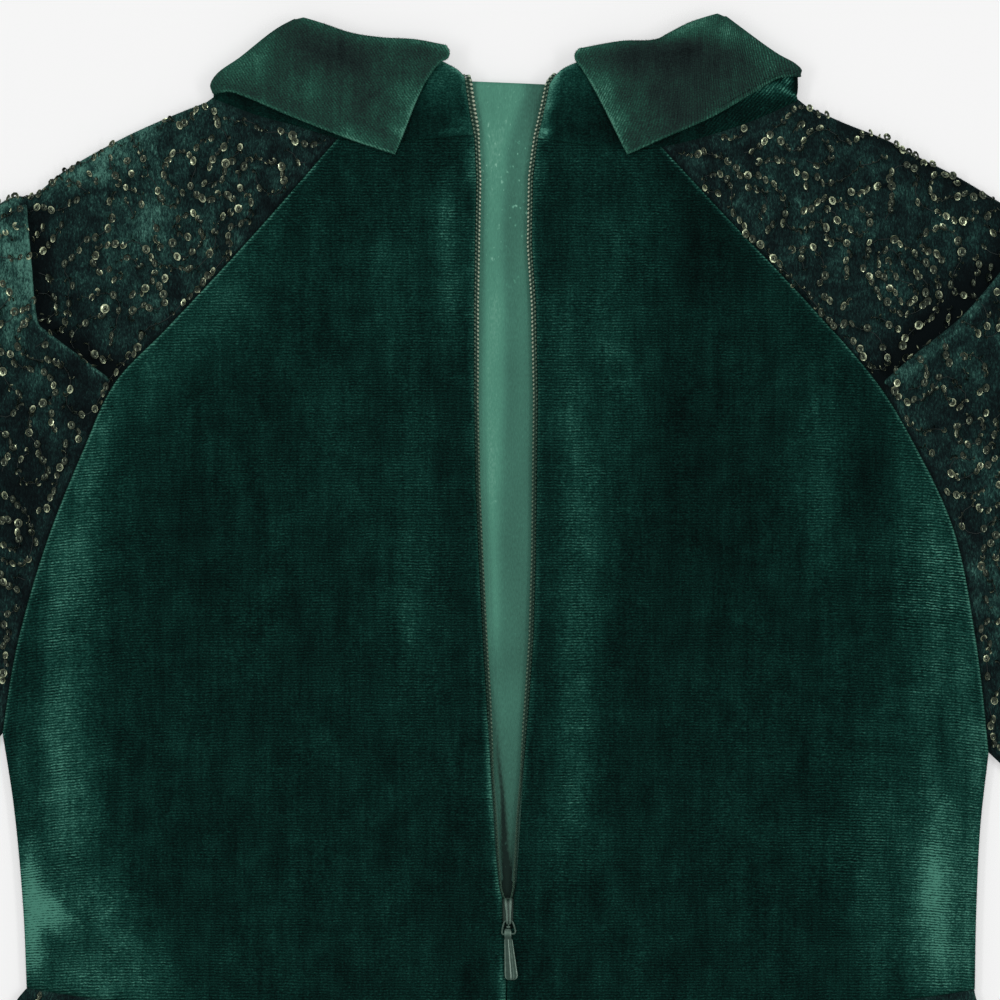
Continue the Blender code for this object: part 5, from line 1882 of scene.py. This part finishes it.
def fringe(name, fringes, material, seed):
    """Tufts of pile as fine four-sided blades that lean out from each edge."""
    chance = np.random.default_rng(seed)
    corners, painted_blade_lights = [], []
    for row in fringes:
        count = len(row.line)
        run = np.gradient(row.line, axis=0)
        step = np.linalg.norm(run, axis=1)[:, None]
        run = run / step
        half = run * FRINGE_WIDTH / 2
        for _ in range(FRINGE_BLADES):
            foot = row.line + run * step * chance.uniform(-0.9, 0.9, (count, 1)) - row.outward * FRINGE_ROOT
            long = chance.uniform(*FRINGE_LENGTH, (count, 1))
            slant = chance.normal(0, FRINGE_SLANT, (count, 1))
            tip = foot + (row.outward + run * slant) * (long + FRINGE_ROOT)
            low = row.height[:, None] + chance.uniform(*FRINGE_LOW, (count, 1))
            high = low + chance.uniform(*FRINGE_RISE, (count, 1))
            blade = np.stack([np.hstack([foot - half, low]), np.hstack([foot + half, low]),
                              np.hstack([foot, low + FRINGE_WIDTH]), np.hstack([tip, high])], axis=1)
            corners.append(blade.reshape(-1, 3))
            painted_blade_lights.append(np.repeat(row.nap + chance.normal(0, 0.12, count), 4))
    corners = np.vstack(corners)
    first = np.arange(0, len(corners), 4)[:, None, None]
    faces = (first + np.array(BLADE_FACES)[None]).reshape(-1, 3)
    values = {"nap": np.concatenate(painted_blade_lights), "rib": corners[:, 1], "wale": np.full(len(corners), FRINGE_WALE)}
    return solid(name, corners, faces.tolist(), material, values)


belongs(fringe("pile_edges", fringe_lines(), VELVET, 31))


# The zip: two rows of coil, slider and pull.

TOOTH_PITCH = 1.5
# How far inside the edge of the opening the coil runs, at heights up the zip.
TOOTH_IN = (Edge(36, 0.5, 0.8), Edge(54, 0.75, 1.0), Edge(66, 0.75, 1.1), Edge(78, 0.7, 0.75),
            Edge(100, 0.40, 0.9), Edge(185, 0.35, 0.9),
            Edge(225, 0.85, 0.9), Edge(300, 0.85, 0.9), Edge(312, 1.0, 0.7), Edge(332, 1.1, 0.8))
COIL_TOP = {
    "left": ((-14.5, 332.9), (-13.9, 332.1)),
    "right": ((18.1, 333.4), (16.8, 332.3), (15.6, 330.9)),
}
COIL_START = {"left": 331.2, "right": 329.5}
COIL_FOOT = 36
# How much wider the teeth stand where the tape turns over at the top.
COIL_OPENS = {"left": 0.50, "right": 0}
# One tooth: across towards the cloth, along the row, height, and the highlight painted on it.
Bend = namedtuple("Bend", "across along height paleness")
TOOTH = (
    Bend(-0.52, -0.34, 0.16, 0.40), Bend(-0.64, 0.0, 0.42, 1.0), Bend(-0.42, 0.28, 0.54, 0.75),
    Bend(0.0, 0.40, 0.52, 0.15), Bend(0.42, 0.52, 0.50, 0.50), Bend(0.62, 0.78, 0.38, 0.62),
    Bend(0.52, 1.06, 0.16, 0.40),
)
STRAND = 0.33
STRAND_SIDES = 6
CORD_HALF = 0.84
CORD_COLUMNS = 7
CORD_RISE = 0.30


def coil_path(side):
    """Middles of the teeth along one edge of the opening, and the way towards the cloth."""
    line = up_the_zip(side, np.linspace(COIL_START[side], COIL_FOOT, 600))
    line[:, 0] -= OUTWARD[side] * column_of(TOOTH_IN, side, line[:, 1])
    line = np.vstack([along([*COIL_TOP[side], line[0]], 30)[:-1], line])
    length = np.linalg.norm(np.diff(line, axis=0), axis=1).sum()
    count = int(length / TOOTH_PITCH)
    spots = spread(line, (np.arange(count) + 0.5) / count)
    return spots, normals(spots) * OUTWARD[side]


def bent_strand():
    """Points round one tooth's strand: across towards the cloth, along the row and height."""
    path = np.array(TOOTH)[:, :3]
    run = np.gradient(path, axis=0)
    run /= np.linalg.norm(run, axis=1)[:, None]
    side_way = np.cross(run, (0, 0, 1.0))
    side_way /= np.linalg.norm(side_way, axis=1)[:, None]
    upright = np.cross(side_way, run)
    angles = (np.arange(STRAND_SIDES) * 2 * np.pi / STRAND_SIDES)[None, :, None]
    tube = path[:, None] + STRAND * (np.cos(angles) * side_way[:, None] + np.sin(angles) * upright[:, None])
    return tube.reshape(1, -1, 3)


def coil_teeth(side, spots, away, floor, wide, thin):
    """Every tooth of a row, narrower towards the slider, with shade painted on low down and by the slider.
    """
    count = len(spots)
    along_row = np.column_stack([away[:, 1], -away[:, 0]]) * -OUTWARD[side]
    flat = np.zeros((count, 1))
    strand = bent_strand()
    corners = (np.column_stack([spots, floor])[:, None]
               + strand[..., :1] * wide[:, None, None] * np.hstack([away, flat])[:, None]
               + strand[..., 1:2] * np.hstack([along_row, flat])[:, None]
               + strand[..., 2:] * np.array([0, 0, 1.0]))
    # Painted shade: darker low on the zip, and darker again by the slider.
    fade = (0.55 + 0.45 * rise(spots[:, 1], 190, 60)) * (1 - 0.25 * thin)
    paleness = np.array([bend.paleness for bend in TOOTH])
    tint = np.repeat(fade[:, None] * paleness[None], STRAND_SIDES, axis=1)
    faces = tubes(count, len(TOOTH), STRAND_SIDES)
    return solid(f"coil_{side}", corners.reshape(-1, 3), faces, COIL, {"tint": tint})


def coil_cord(side, spots, away, floor, wide, thin):
    """The dark cord that the teeth are bent round."""
    across = np.linspace(-1, 1, CORD_COLUMNS)
    plan = spots[:, None] + away[:, None] * (CORD_HALF * wide[:, None] * across)[..., None]
    base = np.repeat(floor[:, None], CORD_COLUMNS, axis=1)
    top = np.dstack([plan, base + 0.06 + CORD_RISE * np.sqrt(1 - 0.9 * across**2)])
    bottom = np.dstack([plan, base - 0.05])
    tint = np.repeat(0.16 + 0.16 * thin[:, None], CORD_COLUMNS, axis=1)
    return closed(f"coil_cord_{side}", top, bottom, COIL, tint=tint)


def coil_row(side):
    """A row of bent coil teeth on its cord, along one edge of the opening."""
    spots, away = coil_path(side)
    floor = tape_layer(spots) + TAPE / 2
    thin = fall(spots[:, 1], 102, 26)
    wide = (1 - 0.58 * thin) * (1 + COIL_OPENS[side] * rise(spots[:, 1], 308, 8))
    row = (side, spots, away, floor, wide, thin)
    return coil_teeth(*row), coil_cord(*row)


for side in SIDES:
    for piece in coil_row(side):
        belongs(piece)

SLIDER_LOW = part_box("zip_slider")[0][2] / MM
PIN_Z = (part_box("zip_pull")[0][2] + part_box("zip_pull")[1][2]) / 2 / MM
PLATE_THICK = 0.8
PLATE_ROWS = 25
PLATE_COLUMNS = 13
# Half width of the slider's plate at heights up the zip.
PLATE_WIDTH = ((27.7, 1.9), (28.2, 2.2), (34.6, 2.9), (35.6, 2.8), (36.3, 2.3), (36.6, 1.6))
# The bridge in side view: way up the zip, height over the pin, middle and half width.
BRIDGE = (
    (36.2, -2.7, 0.06, 1.40), (36.45, -1.6, 0.06, 1.40), (36.2, -0.4, 0.06, 1.40), (35.5, 0.5, 0.06, 1.38),
    (34.2, 0.86, 0.08, 1.32), (32.6, 0.90, 0.12, 1.20), (30.8, 0.90, 0.18, 1.05), (29.2, 0.92, 0.22, 0.94),
    (28.4, 0.90, 0.22, 0.92), (27.75, 0.62, 0.22, 0.88), (27.5, 0.05, 0.22, 0.80), (27.7, -0.55, 0.22, 0.70),
)
# Across the bridge: place, share of the thickness outside, lightness.
BRIDGE_SECTION = (
    (-1.0, -0.5, 0.35), (-0.96, 0.45, 0.55), (-0.75, 0.95, 0.75), (-0.42, 0.9, 0.5), (-0.2, 0.2, 0.1),
    (0.0, -0.1, 0.0), (0.2, 0.2, 0.1), (0.42, 0.9, 0.5), (0.75, 0.95, 0.75), (0.96, 0.45, 0.55),
    (1.0, -0.5, 0.35),
)
BRIDGE_HALF = 0.32
BRIDGE_ROWS = 49
# Beads at the bridge's lower end: across, up the zip and over the pin, then radii and lightness.
BEADS = (
    ((0.15, 26.4, 0.1), (0.78, 0.42, 0.4), 0.5),
    ((0.2, 27.2, 0.25), (0.24, 0.7, 0.3), 0.35),
)
# The pull's eye in plan, round from its pin, and its tab: height up the zip, middle, half width.
EYE = ((-1.15, 28.4), (-1.4, 27.9), (-1.88, 26.2), (-2.12, 24.5), (-1.95, 23.85), (-1.2, 23.75), (1.6, 23.9),
       (2.3, 24.0), (2.62, 24.5), (2.3, 26.4), (1.75, 27.95), (1.5, 28.4), (0.7, 28.44), (-0.35, 28.44))
EYE_WIRE = 0.33
EYE_STEPS = 96
EYE_SIDES = 10
TAB = (
    (25.8, -0.05, 0.80), (25.4, -0.05, 1.16), (24.6, -0.04, 1.30), (22.3, 0.0, 1.30), (21.9, 0.17, 1.50),
    (9.0, 1.17, 2.43), (8.3, 1.18, 2.32), (7.8, 1.18, 2.0), (7.5, 1.17, 1.5), (7.3, 1.16, 0.8),
)
TAB_STEPS = 70
TAB_COLUMNS = 45
TAB_CROWN = 0.40
TAB_UNDER = 0.42
# Ridges along the tab: place across, half width and height.
FLUTES = ((-0.88, 0.10, 0.40), (-0.04, 0.07, 0.72), (0.38, 0.08, 0.26), (0.88, 0.09, 0.55))


def joined(name, parts, material):
    """One mesh of several closed parts, each given as corners, faces and lightness."""
    corners, faces, ridges, start = [], [], [], 0
    for spots, sides, ridge in parts:
        corners.append(spots)
        faces.extend([[int(spot) + start for spot in side] for side in sides])
        ridges.append(np.broadcast_to(ridge, (len(spots),)))
        start += len(spots)
    return solid(name, np.vstack(corners), faces, material, {"ridge": np.concatenate(ridges)})


def rows_across(heights, middle, half, across):
    """Plan of a flat part from its middle and half width at heights up the zip."""
    x = middle[:, None] + half[:, None] * across
    return np.stack([x, heights[:, None] * np.ones(len(across))], axis=2)


def plate():
    """The slider's flat plate under the cloth."""
    heights = np.linspace(PLATE_WIDTH[-1][0], PLATE_WIDTH[0][0], PLATE_ROWS)
    half = np.interp(heights, *zip(*PLATE_WIDTH))
    across = np.linspace(-1, 1, PLATE_COLUMNS)
    plan = rows_across(heights, np.full(PLATE_ROWS, ZIP_X), half, across)
    thick = PLATE_THICK / 2 * (1 - 0.4 * across**6) * np.ones((PLATE_ROWS, 1))
    middle = SLIDER_LOW + PLATE_THICK / 2
    return shell(np.dstack([plan, middle + thick]), np.dstack([plan, middle - thick]))


def bridge():
    """The slider's channelled bridge, and the lightness across it."""
    knots = np.array(BRIDGE)
    path = along(knots[:, :2], BRIDGE_ROWS)
    shares = shares_of(along(knots[:, :2], len(knots)))
    ways = np.linspace(0, 1, BRIDGE_ROWS)
    middle, width = (np.interp(ways, shares, knots[:, column]) for column in (2, 3))
    outward = -normals(path)
    base = np.column_stack([path[:, 0], PIN_Z + path[:, 1]])
    top, under = [], []
    for place, share, _ in BRIDGE_SECTION:
        x = ZIP_X + middle + width * place
        top.append(np.column_stack([x, base + outward * (BRIDGE_HALF * share)]))
        under.append(np.column_stack([x, base + outward * -BRIDGE_HALF]))
    light = np.array([row[2] for row in BRIDGE_SECTION]) * 0.8 + 0.1
    return *shell(np.stack(top, axis=1), np.stack(under, axis=1)), np.tile(light, 2 * BRIDGE_ROWS)


def slider():
    """Slider: a flat plate under the cloth and a bridge that holds the pull's pin."""
    parts = [(*plate(), 0.25), bridge()]
    for (x, y, z), radii, light in BEADS:
        parts.append((*bead((ZIP_X + x, y, PIN_Z + z), radii), light))
    return joined("slider", parts, LACQUER)


def bead(centre, radii, rings=9, sides=14):
    """Corners and faces of a rounded bead."""
    tilt = np.linspace(0, np.pi, rings + 2)[1:-1]
    turn = np.arange(sides) * 2 * np.pi / sides
    round_way = np.stack([np.sin(tilt)[:, None] * np.cos(turn), np.sin(tilt)[:, None] * np.sin(turn),
                          np.cos(tilt)[:, None] * np.ones(sides)], axis=2).reshape(-1, 3)
    corners = np.vstack([round_way, (0, 0, 1), (0, 0, -1)]) * radii + centre
    faces = [row.tolist() for ring in range(rings - 1) for row in loops(ring, sides)[:, ::-1]]
    last = (rings - 1) * sides
    north, south = rings * sides, rings * sides + 1
    faces += [[here, (here + 1) % sides, north] for here in range(sides)]
    faces += [[last + (here + 1) % sides, last + here, south] for here in range(sides)]
    return corners, faces


def eye():
    """The pull's wire eye, which the slider's bridge holds."""
    knots = np.array(EYE + EYE[:1]) + (ZIP_X, 0)
    path = along(knots, EYE_STEPS + 1)[:-1]
    run = np.roll(path, -1, axis=0) - np.roll(path, 1, axis=0)
    run /= np.linalg.norm(run, axis=1)[:, None]
    out = np.column_stack([run[:, 1], -run[:, 0], np.zeros(EYE_STEPS)])
    angles = np.arange(EYE_SIDES) * 2 * np.pi / EYE_SIDES
    base = np.column_stack([path, np.full(EYE_STEPS, PIN_Z)])
    wire = base[:, None] + EYE_WIRE * (np.cos(angles)[None, :, None] * out[:, None]
                                       + np.sin(angles)[None, :, None] * np.array([0, 0, 1.0]))
    faces = np.concatenate([loops(ring, EYE_SIDES, EYE_STEPS) for ring in range(EYE_STEPS)])
    return wire.reshape(-1, 3), faces


def tab():
    """The pull's short neck and fluted tab, and their lightness."""
    rows, middles, halves = np.array(TAB[::-1]).T
    heights = np.unique(np.concatenate([np.linspace(rows[-1], rows[0], TAB_STEPS), rows]))[::-1]
    middle = ZIP_X + np.interp(heights, rows, middles)
    half = np.interp(heights, rows, halves)
    across = np.linspace(-1, 1, TAB_COLUMNS)
    plan = rows_across(heights, middle, half, across)
    ridge = sum(band(across - place, height, half_width) for place, half_width, height in FLUTES)
    on_tab = fall(heights, 22.1, 0.5)[:, None]
    neck = bell(heights - 24.2, 0.9)[:, None]
    dip = bell(heights - 22.3, 0.4)[:, None]
    foot = rise(heights, 7.3, 0.8)[:, None]
    head = fall(heights, 25.9, 0.8)[:, None]
    crown = TAB_CROWN * np.sqrt(np.clip(1 - np.abs(across)**5, 0, 1))
    crown = crown + 0.14 * ridge * on_tab + 0.06 * neck - 0.12 * dip
    top = np.dstack([plan, PIN_Z + crown * (0.3 + 0.7 * foot) * (0.15 + 0.85 * head)])
    bottom = np.dstack([plan, np.full(plan.shape[:2], PIN_Z - TAB_UNDER)])
    light = 0.30 + ridge * on_tab + 0.34 * neck - 0.14 * dip
    return *shell(top, bottom), np.concatenate([light.reshape(-1), np.full(light.size, 0.3)])


def pull():
    """Pull: a wire eye on the slider's bridge, a short neck and a fluted tab."""
    return joined("pull_tab", [(*eye(), 0.42), tab()], LACQUER)


for piece, node_name, body in ((slider(), "zip_slider", "dress"), (pull(), "zip_pull", "pull")):
    belongs(piece, body)
    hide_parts(node_name)


# Floor, light and camera.

FLOOR_HALF = 30.0
FLOOR_HEIGHT = -0.0005


def stage():
    """A pale floor that takes the dress's soft shadow."""
    material, _, shader = nodes_of("floor_paper")
    set_inputs(shader, {
        "Base Color": (0.47, 0.47, 0.47, 1),
        "Emission Color": (1, 1, 1, 1),
        "Emission Strength": 0.455,
        "Roughness": 0.9,
        "Specular IOR Level": 0.0,
    })
    mesh = bpy.data.meshes.new("floor")
    corners = [(-FLOOR_HALF, -FLOOR_HALF, 0), (FLOOR_HALF, -FLOOR_HALF, 0),
               (FLOOR_HALF, FLOOR_HALF, 0), (-FLOOR_HALF, FLOOR_HALF, 0)]
    mesh.from_pydata(corners, [], [(0, 1, 2, 3)])
    mesh.materials.append(material)
    floor = placed("floor", mesh)
    floor.location.z = FLOOR_HEIGHT


Lamp = namedtuple("Lamp", "name x y z size_x size_y power")
LAMPS = (
    Lamp("box_left", -1.5, 0.3, 1.7, 1.6, 0.35, 12),
    Lamp("box_right", 1.5, 0.3, 1.7, 1.6, 0.35, 12),
    Lamp("box_top", 0.0, 2.1, 1.7, 1.2, 0.4, 9),
)
WORLD_STRENGTH = 0.56
AIM = (0.0, 0.2, 0.0)


def lights():
    """Three soft boxes round the dress under an even white sky."""
    for lamp in LAMPS:
        light = bpy.data.lights.new(lamp.name, "AREA")
        light.shape = "RECTANGLE"
        light.size, light.size_y = lamp.size_x, lamp.size_y
        light.energy = lamp.power
        thing = placed(lamp.name, light)
        thing.location = (lamp.x, lamp.y, lamp.z)
        thing.rotation_euler = (Vector(AIM) - Vector(thing.location)).to_track_quat("-Z", "Y").to_euler()
    world = bpy.data.worlds.new("studio")
    world.use_nodes = True
    set_inputs(world.node_tree.nodes["Background"], {"Color": (1, 1, 1, 1), "Strength": WORLD_STRENGTH})
    bpy.context.scene.world = world
    bpy.context.scene.view_settings.view_transform = "Standard"


CAMERA_HEIGHT = 2.0
VIEW_WIDTH = 0.36
VIEW_MIDDLE = (-0.00216, 0.18)
DRESS_HEIGHT = 0.005


def camera():
    """Straight above the middle of the picture, with a long lens: 0.36 metres across the dress."""
    lens = bpy.data.cameras.new("camera")
    lens.sensor_width = 36
    lens.lens = lens.sensor_width * (CAMERA_HEIGHT - DRESS_HEIGHT) / VIEW_WIDTH
    lens.clip_end = 50
    thing = placed("camera", lens)
    thing.location = (SHIFT[0] * MM + VIEW_MIDDLE[0], SHIFT[1] * MM + VIEW_MIDDLE[1], CAMERA_HEIGHT)
    bpy.context.scene.camera = thing


stage()
lights()
camera()
bpy.context.view_layer.update()
